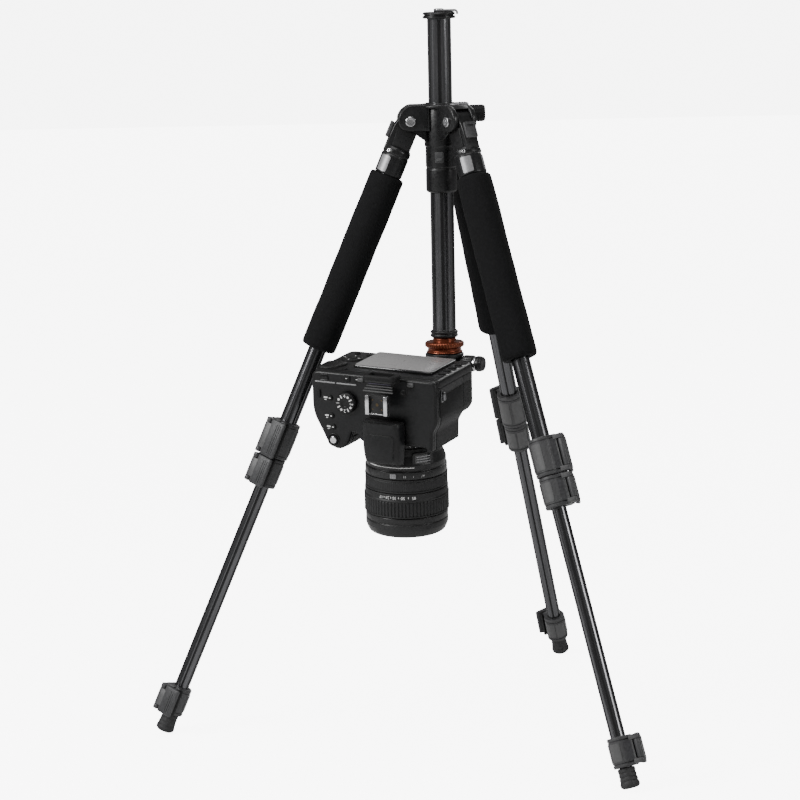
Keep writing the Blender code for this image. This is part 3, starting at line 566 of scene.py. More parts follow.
def socket_screw(radius, low, high, drive=0.55, sides=36):
    """A round screw head from low to high with a hexagonal recess."""
    reach = radius * drive

    def hexagon(angle):
        return reach * math.cos(math.pi / 6) / math.cos((angle % (math.pi / 3)) - math.pi / 6)

    deep = high - (high - low) * 0.75
    profile = [(0, deep), (0, deep, 1), (0, high, 1), (radius * 0.9, high), (radius, high - 0.4),
               (radius, low), (0, low)]
    return turned(profile, sides, 0.15, hexagon)


def build_spider():
    """The casting that joins the legs: hub, guide sleeve, canopy plate and three clevises."""
    bore = 11.8
    hub = [(bore, 531.0), (13.4, 530.5), (15.2, 532.5), (15.2, 553), (14.6, 553.6), (14.6, 555),
           (15.2, 555.6), (15.2, 574.5), (16, 576), (16, 611.9), (bore, 611.9)]
    parts = [(turned(hub, 72, 0.6), COLUMN)]
    canopy = [(bore, 612), (19.6, 612), (20.5, 612.8), (20.5, 614.4), (18.8, 616), (bore, 616)]
    parts.append((turned(canopy, 96, 0.5), COLUMN))
    parts.append((turned([(bore, 615.6), (14.6, 615.6), (14.6, 616.4), (14.2, 616.9), (bore, 616.9)],
                         64, 0.2), COLUMN))
    cheek = rounded([(-17.4, 15.5), (0.8, 15.5), (7.8, 10.8), (11.3, 5), (11.3, -3), (8.3, -7.5),
                     (2.8, -9.5), (-17.4, -9.5)], 3.0, 4)[::-1]
    roof = rounded([(-17.4, 12), (5.4, 12), (1.0, 15.4), (-17.4, 15.4)], 0.8)
    root = rectangle(-18.4, -12.7, -9.5, 15.4)
    rib = [(-15, -9), (0, -9.2), (-15, -20)]
    for key in LEGS:
        stand = PIVOT[key] @ UPRIGHT
        parts.append((slab(root, -13.3, 13.3, 1.0), stand))
        parts.append((slab(roof, -9.0, 9.0, 0.3), stand))
        for side in (-1, 1):
            low, high = sorted((side * 7.8, side * 13.5))
            cut = [(slab(arc(0, 0, 3.4, 0, 345, 23), -30, 30, 0), shift())]
            parts.append((carve(slab(cheek, low, high, 1.3, 3), *cut), stand))
            parts.append((slab(rounded(rib, 1.5), *sorted((side * 9, side * 12)), 0.8), stand))
    boss = [(4, 13), (8, 13), (7.4, 17), (6.4, 20), (6.4, 25.4), (4, 25.4)]
    knob = axes(Vector((pan.x, pan.y, where("column_lock_turn").z)), along("column_lock_turn"),
                Vector((0, 0, 1)).cross(along("column_lock_turn")), Vector((0, 0, 1)))
    parts.append((turned(boss, 40, 0.7), knob @ ALONG_X))
    show("spider_casting", merged(parts), "black_casting", "spider", Matrix(), "spider")
    latch = [(slab(rectangle(-4.2, 4.2, -5.4, 5.4, 1.4), 14.6, 16.3, 0.5), shift()),
             (slab(rectangle(-2.8, 2.8, -3.4, -0.6, 0.8), 16, 16.9, 0.3), shift())]
    show("sleeve_latch", merged(latch), "lever_grey", "spider",
         COLUMN @ shift(z=565) @ turn(-97, "Z") @ ALONG_X @ turn(90, "Z"))
    level = [(0, 616.1), (4.6, 616.1), (4.6, 616.8), (3.9, 617.4), (3.4, 617.2), (0, 617.3)]
    heading = turn(math.degrees(math.atan2(PIVOT["front"].col[0].y, PIVOT["front"].col[0].x)), "Z")
    show("bubble_level", turned(level, 32, 0.15), "light_grey_inlay", "spider",
         COLUMN @ heading @ shift(23.5, 0, -0.6))
    guard = [(slab(rectangle(14.2, 27.0, -7.4, 7.4, 2.4), 6.2, 10.6, 1.0), Matrix())]
    guard += [(slab(rectangle(x - 0.5, x + 0.5, -5.4, 5.4, 0.4), 10.4, 11.1, 0.2), Matrix())
              for x in (19, 21.4, 23.8)]
    show("lock_guard", merged(guard), "light_grey_inlay", "spider", knob)
    ribs = [(3, 12.5), (3, 27.6), (7.2, 27.6), (8.3, 28.8, 1), (8.4, 40.6, 1), (7.2, 42.8, 0.4),
            (5.2, 43), (4.8, 42.5), (0, 42.5)]
    show("column_lock_grip", turned([(0, 12.5)] + ribs, 96, 0.4,
                                    lambda a: 0.5 * (abs(math.sin(5 * a)) - 1)),
         "rubber_black", "column_lock_knob", knob @ ALONG_X, "column_lock_knob")
    for key in LEGS:
        bolts = [(socket_screw(4.8, 13.7, 16), PIVOT[key] @ ALONG_Y),
                 (socket_screw(4.8, 13.7, 16), PIVOT[key] @ turn(180, "Z") @ ALONG_Y),
                 (rod(3, -13.6, 13.6), PIVOT[key] @ ALONG_Y)]
        show(f"{key}_hinge_bolt", merged(bolts), "bright_steel", "spider", Matrix(),
             f"{key}_pivot_bolt")


# ---- column ---------------------------------------------------------------------------
def build_column():
    """The fluted column, its ferrule, the stacked end cap and the bag hook."""
    tube = [(9.7, 394.5), (11.5, 394.5, 1), (11.5, 400, 1), (11.5, 450, 1), (11.5, 500, 1),
            (11.5, 550, 1), (11.5, 600, 1), (11.5, 650, 1), (11.5, 697, 1), (9.7, 697)]
    show("fluted_column", turned(tube, 120, 0, lambda a: 0.85 * fluted(a)), "column_black",
         "column", COLUMN, "column_tube")
    # Painted shade: six thin dark strips laid in the column's flutes stand in for the shade inside the
    # flutes.
    strips = [(wrap(fine_sheet(-0.95, 0.95, 397, 696, 0, 0.25, 2), 10.6), turn(30 + 60 * k, "Z"))
              for k in range(6)]
    show("column_flute_painted_shade", merged(strips), "rubber_black", "column", COLUMN)
    ferrule = [(5.2, 389), (12.6, 389), (13.5, 390), (13.5, 391.6), (12.9, 392.1), (12.9, 392.7),
               (13.5, 393.2), (13.5, 394.8), (12.4, 395.8), (5.2, 395.8)]
    show("column_ferrule", turned(ferrule, 64, 0.3), "black_casting", "column", COLUMN)
    cap = [(2.3, 686), (9.2, 686), (9.2, 697.2), (15.2, 697.2), (15.8, 698), (15.8, 699.4),
           (14.2, 700), (14.2, 700.7), (15.8, 701.1), (15.6, 702.2), (14.6, 703.3), (2.3, 703.3)]
    show("stacked_end_cap", turned(cap, 72, 0.35), "black_casting", "column", COLUMN,
         "column_end_cap")
    low, thick, bend = 703.6, 2.2, 16.4
    side = [(-5, low)] + arc(bend - 1.2, low - 1.2, 1.2, 90, 0, 5) + [(bend, low - 2.6)]
    side += [(bend + thick, low - 2.6)] + arc(bend - 1.2, low - 1.2, 1.2 + thick, 0, 90, 7)
    side += [(-5, low + thick)]
    head = [(0, low + 0.4), (4.6, low + 0.4), (4.6, low + 2.7), (3.6, low + 3.2), (0, low + 3.2)]
    slot = slab(rectangle(-5, 5, -0.45, 0.45), low + 2.6, low + 5, 0)
    hook = [(slab(side, -6, 6, 0.7), UPRIGHT), (carve(turned(head, 40, 0.3), (slot, shift())), shift()),
            (rod(2, 697.8, low + 1, 24, 0.1), shift())]
    swivel = axes(Vector((pan.x, pan.y, 0)), Vector((1, 0, 0)), Vector((0, 1, 0)), Vector((0, 0, 1)))
    show("swivel_hook", merged(hook), "bright_steel", "bag_hook", swivel, "bag_hook")


# ---- ball head ------------------------------------------------------------------------
def build_head():
    """The anodised pan ring, the notched housing, its knob, and the polished ball."""
    knob_axis = along("ball_lock_turn")
    head = axes(Vector((pan.x, pan.y, 0)), knob_axis, Vector((0, 0, 1)).cross(knob_axis),
                Vector((0, 0, 1)))
    ring = [(0, 392.5), (5, 392.5), (5, 388.6), (10.6, 388.6), (11.3, 387.8), (11.3, 384.8),
            (18, 384.6), (19.2, 383.4, 1), (19.2, 380.4, 1), (17.6, 379.2), (16.4, 378.4),
            (16.4, 376.2), (17.4, 375.2), (17.8, 374.6), (17, 373.8), (5, 373.8), (5, 368.2), (0, 368.2)]
    show("anodised_pan_ring", turned(ring, 180, 0.35, lambda a: -0.22 * (1 + math.cos(45 * a))),
         "orange_anodised", "column", COLUMN, "pan_ring")
    body = [(0, 366.8), (5.3, 366.8), (5.3, 373.5), (17.8, 373.5), (18.8, 372.6), (18.8, 370),
            (17.8, 368.9), (15.2, 368.6), (14.6, 367.6), (14.6, 345.4), (14, 344.8), (14, 344),
            (14.4, 343.4), (14.2, 342), (13.1, 341), (0, 341)]
    ball_z = where("ball_tilt").z / MM
    socket = [(0, -12.4)] + [(12.4 * math.cos(math.radians(a)), 12.4 * math.sin(math.radians(a)))
                             for a in range(-80, 90, 10)] + [(0, 12.4)]
    notch = [(-5.2, -20), (5.2, -20)] + arc(0, 0.5, 5.2, 0, 180, 14)
    boss = [(0, 9), (6.6, 9), (5.8, 16.5), (5.8, 20.3), (4.9, 20.9), (0, 20.9)]
    side = shift(z=364) @ ALONG_X
    shell_mesh = merged([(turned(body, 80, 0.35), Matrix()), (turned(boss, 40, 0.5), side)])
    shell_mesh = carve(shell_mesh, (turned(socket, 48, 0), shift(z=ball_z)),
                       (slab(notch, 2, 30, 0), shift(z=ball_z) @ UPRIGHT))
    show("notched_housing", shell_mesh, "black_casting", "ball_housing", head, "ball_housing")
    grip = [(0, 21.2), (7.4, 21.2), (8, 22, 1), (8, 31.2, 1), (7.2, 32, 0), (0, 32)]
    end = [(0, 34.9), (7.4, 34.9), (7.7, 35.6), (7.7, 38.6), (7.1, 39.2), (7.1, 40.6), (6.4, 41.5),
           (3, 41.3), (0, 41.1)]
    knob = [(turned(grip, 96, 0.3, lambda a: 0.45 * (abs(math.sin(8 * a)) - 1)), Matrix()),
            (turned(end, 56, 0.35), Matrix()), (rod(3, 15, 22), Matrix())]
    show("ball_lock_grip", merged(knob), "black_casting", "ball_lock_knob", head @ side,
         "ball_lock_knob")
    band = [(0, 31.8), (6.6, 31.8), (7, 32.4), (7, 34.6), (6.6, 35.1), (0, 35.1)]
    show("knob_silver_ring", turned(band, 56, 0.3), "bright_steel", "ball_lock_knob", head @ side)

    sphere = [(0, -11.4)] + [(11.4 * math.cos(math.radians(a)), 11.4 * math.sin(math.radians(a)))
                             for a in range(-84, 90, 6)] + [(0, 11.4)]
    ball = carve(turned(sphere, 64, 0), (rod(4.5, 5, 20, 32), shift()))
    show("polished_ball", ball, "bright_steel", "ball", BALL, "ball")
    stem = [(0, 4.6), (4.2, 4.6), (4.2, 21), (5.4, 22.9), (9.4, 24.1), (17.4, 24.5), (18.5, 25.4),
            (18.5, 29.2, 1), (17.6, 30.2), (17, 30.6), (17, 33.6), (16.4, 34.2), (0, 34.2)]
    show("stem_and_clamp", turned(stem, 90, 0.35), "black_casting", "camera", BALL, "head_stem")
    plate = slab(rectangle(-21, 21, -19, 19, 2.5), 34.7, 42.2, 1.0)
    grooves = [(slab(rectangle(-30, 30, -0.7, 0.7), -1, 1, 0), shift(0, side_y, 38.4))
               for side_y in (-19.4, 19.4)]
    pad = [(carve(plate, *grooves), Matrix()), (slab(rectangle(-19, 19, -17.4, 17.4, 2), 42, 45.6, 0.5),
                                                Matrix())]
    show("quick_plate", merged(pad), "rubber_black", "camera", BALL, "camera_plate")


# ---- legs -----------------------------------------------------------------------------
CLAMPS = {"upper": (316.0, 352.8), "middle": (353.3, 383.3), "lower": (602.0, 630.3)}
CLAMP_RADII = {"upper": 13.0, "middle": 12.0, "lower": 11.0}
LUG_REACH = 1.5              # a clamp's lug beyond its collar
PIN_OUT = LUG_REACH + 4.0    # a lever's pin beyond the collar
LEVER_AIM = turn(50, "Z")


def leg_length(key):
    """How far down its leg the tip of a foot is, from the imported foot's own box."""
    node = frame["nodes"][f"{key}_foot_section"]
    inverse = LEG[key].inverted()
    return -min((inverse @ vertex.co).z for vertex in node.data.vertices) / MM


FOOT_TIP = leg_length("left")


def fluted_tube(radius, wall, start, end):
    """A drawn tube with six shallow flutes; start and end are distances down the leg."""
    inner = radius - wall
    profile = [(inner, -end), (radius, -end, 1), (radius, -(start + end) / 2, 1),
               (radius, -start, 1), (inner, -start)]
    return turned(profile, 108, 0, lambda a: 0.42 * fluted(a, 6, 13.0, 20.0))


def flute_painted_shade(radius, start, end):
    """Painted shade: dark lines laid in a tube's flutes, standing in for the shade inside them."""
    return merged([(wrap(fine_sheet(-0.8, 0.8, -end, -start, 0, 0.2, 2), radius - 0.5),
                    turn(20 + 60 * k, "Z")) for k in range(6)])


def clamp(key, bore):
    """A clamp: collar with a flat lug, a split, two knuckles, the lever's pin, and a black tongue of painted
    shade in the knuckle gap.
    """
    start, end = CLAMPS[key]
    radius = CLAMP_RADII[key]
    face = radius + LUG_REACH
    low, high = -end, -start
    left, right = 7.9, -10.4
    first = math.degrees(math.asin(left / radius)) + 3
    last = 360 - math.degrees(math.asin(-right / radius)) - 3
    outline = [(face, right), (face, left)] + arc(0, 0, radius, first, last, 44)
    body = slab(rounded(outline, [1.4, 1.4] + [0] * 45, 4), low, high, 1.1, 3)
    bore_cutter = slab(arc(0, 0, bore, 0, 354, 59), low - 5, high + 5, 0)
    split = slab(rectangle(4, 40, 0.8, 2.4), low - 5, high + 5, 0)
    groove = [(radius - 0.6, 0), (radius + 9, 0), (radius + 9, 0.9), (radius - 0.6, 0.9)]
    cuts = [(bore_cutter, shift()), (split, shift())]
    cuts += [(turned(groove, 64, 0), shift(z=z)) for z in (low + 3.2, high - 4.0)]
    parts = [(carve(body, *cuts), Matrix())]
    for side in (120, 180, 240):
        panel = wrap(fine_sheet(-5.2, 5.2, low + 5.8, high - 5.8, 1.8, 0.7, 8), radius - 0.25)
        parts.append((panel, turn(side, "Z")))
    knuckle = [(face - 3, -4.8)] + arc(face + 4, -8, 3.2, 90, -90, 12) + [(face - 3, -11.2)]
    for bottom in (low + 0.8, high - 5.3):
        parts.append((slab(knuckle, bottom, bottom + 4.5, 0.6), Matrix()))
    pin = [(0, low + 0.5), (1.2, low + 0.3), (1.2, high - 0.3), (0, high - 0.5)]
    # Painted shade: the tongue is a black strip set in the gap between the knuckles, standing in for the
    # shade in that gap.
    tongue = rounded([(face - 0.8, -2.6), (face + 2.1, -2.6), (face + 2.1, 9.4), (face - 1, 11.2),
                      (face - 4, 10.4), (face - 3.4, 8.4), (face - 0.8, 8.4)], 0.6)
    return (merged(parts), turned(pin, 20, 0.1), slab(tongue, low + 0.9, high - 0.9, 0.6))


def lever(key):
    """A flip lever round its own pin: barrel, curved finger plate and grip ridges."""
    start, end = CLAMPS[key]
    half = (end - start) / 2
    inner = half - 5.6
    plate = [(-1.4, 4.0), (3.0, 4.0), (3.4, 8), (3.3, 14), (3.4, 18.5), (2.6, 21), (0.6, 21.0),
             (-0.6, 18), (-1.6, 12)]
    parts = [(slab(rounded(plate, 1.2), -half, half, 1.5, 3), Matrix()),
             (slab(rounded([(-1.5, -0.5), (3.2, -0.5), (3.2, 6), (-1.5, 6)], 0.4), -inner, inner, 0.6),
              Matrix()),
             (turned([(1.3, -inner), (3.2, -inner), (3.2, inner), (1.3, inner)], 32, 0.5), Matrix())]
    for y in (12.6, 14.8, 17.0):
        ridge = slab(rounded([(2.9, y - 0.55), (3.9, y - 0.3), (3.9, y + 0.3), (2.9, y + 0.55)], 0.2),
                     -half + 3.5, half - 3.5, 0.4)
        parts.append((ridge, Matrix()))
    return merged(parts)


def foam(seed):
    """A soft sleeve with pinched ends and slight dents."""
    low, high, radius, inner = -238.0, -56.0, 17.3, 9.2
    stations = [(inner, low + 0.6), (13.4, low), (15.9, low + 0.7), (17.0, low + 2.2), (radius, low + 5)]
    stations += [(radius, low + 5 + (high - low - 10) * step / 40) for step in range(1, 40)]
    stations += [(radius, high - 5), (17.0, high - 2.2), (15.9, high - 0.7), (13.4, high),
                 (inner, high - 0.6)]
    loops = []
    for reach, z in stations:
        loop = []
        for side in range(72):
            angle = math.tau * side / 72
            spot = Vector((math.cos(angle) * 1.1, math.sin(angle) * 1.1, z * 0.035 + seed))
            dent = 0.45 * noise.noise(spot) + 0.18 * noise.noise(spot * 3.1)
            out = reach + (dent - 0.25 if reach > inner + 1 else 0)
            loop.append((out * math.cos(angle), out * math.sin(angle), z))
        loops.append(loop)
    return loft(loops, cyclic=True)


def foot():
    """The rubber foot under its tube, with grooves and a flat worn tread."""
    tip = FOOT_TIP
    rubber = [(0, -tip + 0.2), (3.4, -tip), (7.0, -tip + 0.4), (9.0, -tip + 2.2), (9.2, -tip + 4.4),
              (8.6, -tip + 6.4), (8.1, -tip + 7.0), (8.7, -tip + 7.8), (8.3, -tip + 10.2),
              (7.8, -tip + 10.8), (8.3, -tip + 11.6), (8.2, -tip + 14.2), (7.7, -tip + 14.8),
              (8.3, -tip + 15.6), (8.2, -tip + 18.6), (7.4, -tip + 19.4), (0, -tip + 19.4)]
    return turned(rubber, 64, 0.3)


def build_leg(key):
    """One leg, from the yoke down to the rubber foot."""
    stand = LEG[key]
    tongue = arc(0, 0, 10.5, 180, 0, 20) + [(12.6, -8), (13, -12), (13, -33), (-11, -33), (-11, -8)]
    sleeve = [(9.1, -55.6), (13.0, -55.6), (13.5, -55), (13.5, -36.5), (12.9, -35.9), (12.9, -35.1),
              (13.5, -34.5), (13.5, -31), (12.2, -28.2), (9.1, -28)]
    yoke = [(carve(slab(tongue, -7.5, 7.5, 1.2, 3),
                   (rod(3.3, -20, 20), UPRIGHT.inverted() @ ALONG_Y),
                   (slab(rectangle(5, 20, -3.3, 3.3), -17.3, -10.7, 0), UPRIGHT.inverted())), UPRIGHT),
            (turned(sleeve, 72, 0.5), Matrix())]
    for side in (-1, 1):
        brace = rounded([(-9, -9), (9, -9), (7.5, -29), (-7.5, -29)], 2.5)
        yoke.append((slab(brace, *sorted((side * 7.2, side * 8.4)), 0.5), UPRIGHT))
    show(f"{key}_yoke_casting", merged(yoke), "black_casting", f"{key}_upper", stand, f"{key}_yoke")
    inlays, screws = [], []
    for angle in (-48, 48):
        sheet = wrap(fine_sheet(-5.2, 5.2, -53.8, -38.2, 1.6, 0.75), 13.3)
        inlays.append((sheet, turn(angle, "Z")))
        screws.append((socket_screw(1.9, 12.6, 13.9, sides=24), turn(angle, "Z") @ shift(z=-33) @ ALONG_X))
    show(f"{key}_sleeve_inlays", merged(inlays), "light_grey_inlay", f"{key}_upper", stand)
    show(f"{key}_sleeve_screws", merged(screws), "bright_steel", f"{key}_upper", stand)
    tab = [(slab(rectangle(-6.5, 6.5, -22, -6, 1.8), 13.4, 16.2, 0.6), ALONG_X @ turn(90, "Z")),
           (slab(rectangle(9.6, 15, -3, 3, 0.4), -17, -11, 0.2), Matrix())]
    # Painted shade: a thin black plate on the stop tab stands in for the shaded opening of its slot.
    show(f"{key}_tab_slot_painted_shade", slab(rectangle(-3.6, 3.6, -10.4, -8.8, 0.7), 16.0, 16.4, 0.15),
         "rubber_black", f"{key}_angle_tab", stand @ ALONG_X @ turn(90, "Z"))
    show(f"{key}_stop_tab", merged(tab), "lever_grey", f"{key}_angle_tab", stand,
         f"{key}_angle_tab")
    show(f"{key}_tube_1", fluted_tube(8.75, 0.5, 34, 350), "leg_tube_grey", f"{key}_upper", stand,
         f"{key}_upper_tube")
    grip = show(f"{key}_foam_sleeve", foam(LEGS.index(key) * 7.0), "foam_grip_black", f"{key}_upper",
                stand, f"{key}_foam_grip")
    sections = (("upper", f"{key}_upper", 9.05, (f"{key}_upper_clamp",)),
                ("middle", f"{key}_second_section", 7.5, ()), ("lower", f"{key}_third_section", 6.7, ()))
    for part, body, bore, replaced in sections:
        collar, pin, tongue = clamp(part, bore)
        show(f"{key}_{part}_collar", collar, "lever_grey", body, stand @ LEVER_AIM, *replaced)
        # Painted shade: the black tongue darkens the gap between the clamp's knuckles.
        show(f"{key}_{part}_tongue", tongue, "rubber_black", body, stand @ LEVER_AIM)
        at_pin = LEVER_AIM @ shift(CLAMP_RADII[part] + PIN_OUT, -8)
        show(f"{key}_{part}_pin", pin, "column_black", body, stand @ at_pin)
        start, end = CLAMPS[part]
        place = at_pin @ shift(z=-(start + end) / 2)
        show(f"{key}_{part}_flip", lever(part), "lever_grey", f"{key}_{part}_lever", stand @ place,
             f"{key}_{part}_lever")
    # Painted shade: dark strips in the flutes of the upper, lower and foot tubes stand in for the shade
    # inside them.
    painted_shade_runs = (("upper", f"{key}_upper", 8.75, 239, 315), ("lower", f"{key}_third_section", 7.1, 385, 601),
              ("foot", f"{key}_foot_section", 6.1, 631, FOOT_TIP - 20))
    for part, body, radius, start, end in painted_shade_runs:
        show(f"{key}_{part}_flute_painted_shade", flute_painted_shade(radius, start, end), "rubber_black", body, stand)
    show(f"{key}_tube_2", fluted_tube(7.95, 0.5, 64, 383), "leg_tube_grey", f"{key}_second_section",
         stand, f"{key}_second_section")
    show(f"{key}_tube_3", fluted_tube(7.1, 0.5, 338, 630), "leg_tube_grey", f"{key}_third_section",
         stand, f"{key}_third_section")
    show(f"{key}_tube_4", fluted_tube(6.1, 0.6, 362, FOOT_TIP - 19), "leg_tube_grey",
         f"{key}_foot_section", stand)
    show(f"{key}_rubber_foot", foot(), "foot_rubber", f"{key}_foot_section", stand,
         f"{key}_foot_section")


# ---- camera body ------------------------------------------------------------------------
LEFT, RIGHT = -52.0, 79.0
FRONT = [(LEFT, -24, 6), (-47, -16, 3), (-46.5, 2, 2), (-41, 3.2, 2), (-40, -0.6, 1),
         (28, -0.6, 3), (33, -9, 3), (37.5, -9.6, 2.5), (40, -2, 4), (43.5, 6, 4), (51, 10, 5),
         (58, 8.5, 4), (64, 3.5, 5), (70, -9, 8), (76.5, -20, 8), (RIGHT, -30, 7)]
BUTTON = (56.5, 0.5)
LOW_FRONT = [(LEFT, -24, 6), (-40, -16, 5), (-33, -9, 3), (-31, -0.6, 1.5)] + FRONT[5:]
STEP = -21.0                 # the body is wider beside the mount above this height


def plan(rear, corner, front=FRONT):
    """The camera's outline seen from its top, closed by a straight rear edge."""
    points = [(LEFT, rear)] + [(x, y) for x, y, _ in front] + [(RIGHT, rear)]
    radii = [corner] + [radius for _, _, radius in front] + [corner]
    return rounded(points, radii, 4)[::-1]


def loops_along_y(stations):
    """Rounded trapezoids from (y, half at the foot, half at the top, low, high, corner)."""
    loops = []
    for y, foot_half, top_half, low, high, corner in stations:
        points = [(-foot_half, low), (foot_half, low), (top_half, high), (-top_half, high)]
        loops.append([(x, y, z) for x, z in rounded(points, [0.8, 0.8, corner, corner], 4)])
    return loops


def build_body():
    """Body shell, leatherette, rear and top covers, finder, eyecup and screen."""
    throat = slab(arc(0, 0, 27, 0, 352.5, 47), -44, 20, 0)
    lower = shell(plan(-58, 1.0, LOW_FRONT), [(-44, 3.0), (-43.4, 1.5), (-42, 0.5), (-40, 0),
                                              (STEP + 0.5, 0)])
    upper = shell(plan(-58, 1.0), [(STEP, 1.0), (STEP + 0.4, 0.3), (STEP + 1, 0), (33.2, 0), (34, 0.7)])
    halves = [(carve(half, (throat, ALONG_Y)), Matrix()) for half in (lower, upper)]
    show("body_shell", merged(halves), "camera_plastic", "camera", CAMERA, "camera_body")
    near, far = [(LEFT, -50, 1), (LEFT, -37, 1)], [(RIGHT, -37, 1), (RIGHT, -50, 1)]
    for name, corners, low, high in (("grip_leatherette", FRONT[8:] + far, -38.0, 29.5),
                                     ("front_leatherette", near + FRONT[:3], STEP + 1, 29.5),
                                     ("lower_leatherette", near + LOW_FRONT[:3], -38.0, STEP)):
        run = rounded([(x, y) for x, y, _ in corners], [r for _, _, r in corners], 5, closed=False)
        show(name, skin(run, low, high), "camera_leatherette", "camera", CAMERA)
    flange = [(27.3, -0.4), (33.5, -0.4), (33.5, 0.1), (27.3, 0.1)]
    show("mount_flange", turned(flange, 64, 0.1), "bright_steel", "camera", CAMERA @ ALONG_Y)

    rear = rounded([(LEFT, -44), (RIGHT, -44), (RIGHT, 34), (LEFT, 34)], [7, 9, 4, 4], 5)
    levels = [(58.3, 0.0)] + [(66 - rise, inset) for rise, inset in reversed(eased_rim(3.2, 4))]
    show("rear_shell", shell(rear, levels), "camera_plastic", "camera", CAMERA @ UPRIGHT, "rear_cover")
    thumb = rounded([(54, 6), (77, 6), (77, 31), (60, 31)], [7, 6, 5, 7], 5)
    show("thumb_rest", slab(thumb, 64, 68.4, 2.0, 3), "camera_leatherette", "camera", CAMERA @ UPRIGHT)

    panel = slab(rectangle(-37, 46, -39, 17, 3), 66.1, 68.6, 0.9, 3)
    glass = slab(rectangle(-35.4, 44.4, -37.2, 15.4, 1.6), 68.3, 69.0, 0.3)
    show("screen_frame", panel, "screen_border", "camera", CAMERA @ UPRIGHT, "screen")
    show("screen_glass", glass, "screen_cover", "camera", CAMERA @ UPRIGHT)
    keys = [(shift(-43.6, z), 3.2, 2.3) for z in (-28, -16, -4, 8)]
    pads = [(slab(rectangle(-a, a, -b, b, 1.2), 65.6, 67.0, 0.5), spot) for spot, a, b in keys]
    pads += [(turned([(0, 65.6), (2.7, 65.6), (2.7, 66.7), (2.2, 67.1), (0, 67.1)], 32, 0.2),
              shift(x, z)) for x, z in ((52, -30), (50, 25), (66, -33))]
    wheel = [(4.4, 65.6), (10.4, 65.6), (10.4, 66.8), (9.4, 67.4), (5.4, 67.2), (4.4, 66.6)]
    pads.append((turned(wheel, 56, 0.3), shift(61.5, -12)))
    pads.append((turned([(0, 65.6), (3.6, 65.6), (3.6, 67), (3, 67.4), (0, 67.4)], 40, 0.2),
                 shift(61.5, -12)))
    show("rear_buttons", merged(pads), "rubber_black", "camera", CAMERA @ UPRIGHT)
    icons = [(slab(rectangle(-1.3, 1.3, -0.35, 0.35, 0.2), 65.9, 66.15, 0), shift(-49, z))
             for z in (-28, -16, -4, 8)]
    icons += [(slab(rectangle(-1.1, 1.1, -0.35, 0.35, 0.2), 66.9, 67.5, 0),
               shift(61.5, -12) @ turn(90 * k, "Z") @ shift(7.4)) for k in range(4)]
    show("rear_button_marks", merged(icons), "white_marks", "camera", CAMERA @ UPRIGHT)

    top_levels = [(34.2, 0.6), (34.7, 0.0), (36.6, 0.0)]
    top_levels += [(39.5 - rise, inset) for rise, inset in reversed(eased_rim(2.9, 5))]
    hump = loops_along_y([(-63.2, 18, 14, 37, 44, 4), (-62.6, 21, 15.5, 37, 48.5, 5),
                          (-60.5, 24, 17, 37, 53, 6), (-57, 26.5, 18.4, 37, 56, 6.5),
                          (-54, 28, 19, 37, 57, 6.5), (-44, 29.5, 19.4, 37, 57, 6),
                          (-34, 29.5, 19.4, 37, 57, 6), (-27.6, 28, 19.4, 37, 57, 6),
                          (-26.4, 26.5, 18.8, 37, 56.4, 6)])
    parts = [(shell(plan(-66, 8), top_levels), Matrix()), (loft(hump), Matrix())]
    bridge = loops_along_y([(-30, 28, 22, 37, 42.5, 3), (-16, 26, 21.2, 37, 41.2, 2),
                            (-4, 24, 20.4, 37, 40.4, 1.5), (1.6, 22, 19.6, 36, 38.8, 1)])
    parts.append((loft(bridge), Matrix()))
    holes = [(rod(2.3, 36, 50), shift(41, -38)), (rod(5.3, 35.8, 50, 40), shift(*BUTTON))]
    # Known fault: this cut keeps only the flat plate, so the hump and the bridge are missing.
    show("top_shell", carve(merged(parts), *holes), "camera_plastic", "camera", CAMERA, "top_cover")
    # Painted highlight: two light grey strips along the rear of the top plate stand in for the highlight on
    # its seam edge.
    highlight_strips = [(slab(rectangle(x0, x1, -56.2, -54.9, 0.5), 39.2, 40.0, 0.25), Matrix())
             for x0, x1 in ((31, 52), (53.5, 75))]
    show("top_seam_painted_highlight", merged(highlight_strips), "light_grey_inlay", "camera", CAMERA)

    cup = rounded([(-18, 41), (18, 41), (17, 55.8), (-17, 55.8)], [4, 4, 5, 5], 5)
    ring = carve(shell(cup, [(63.4, 1.4), (64.6, 0.4), (66, 0.9), (67.2, 0.1), (69.6, 0.0), (70.6, 0.5),
                             (71, 1.4)]),
                 (slab(rectangle(-12, 12, 43.6, 53.4, 2.5), 60, 80, 0), shift()))
    show("rubber_eyecup", ring, "rubber_black", "camera", CAMERA @ UPRIGHT, "eyecup")
    ribs = [(slab(rectangle(-reach, reach, y - 0.55, y + 0.55, 0.5), z - 1.4, z + 0.5, 0.35), Matrix())
            for y, z, reach in ((-60.4, 53.0, 13.5), (-58.4, 55.0, 14.5), (-56.2, 56.5, 15.5))]
    ribs += [(slab(rectangle(side * 26 - 3.2, side * 26 + 3.2, -63.4, -59.2, 1.6), 38.5, 41.4, 0.9),
              Matrix()) for side in (-1, 1)]
    show("finder_ridges", merged(ribs), "lever_grey", "camera", CAMERA)
    lens = shell(rectangle(-12.6, 12.6, 43, 54, 2.5), [(62.8, 0), (63.4, 0), (64.2, 3.0), (64.6, 4.9)])
    show("finder_window", lens, "front_glass", "camera", CAMERA @ UPRIGHT)


def skin(run, low, high, proud=0.35, deep=0.8):
    """A strip of covering wrapped along an open line, with thin turned-in rims."""
    points = [Vector(p) for p in run]
    loops = []
    for i, point in enumerate(points):
        before, after = points[max(0, i - 1)], points[min(len(points) - 1, i + 1)]
        ahead = (after - before).normalized()
        side = Vector((-ahead.y, ahead.x))
        inner, outer = point - side * deep, point + side * proud
        section = [(inner, low), (outer, low + 0.5), (outer, high - 0.5), (inner, high)]
        loops.append([(p.x, p.y, z) for p, z in section])
    return loft(loops)


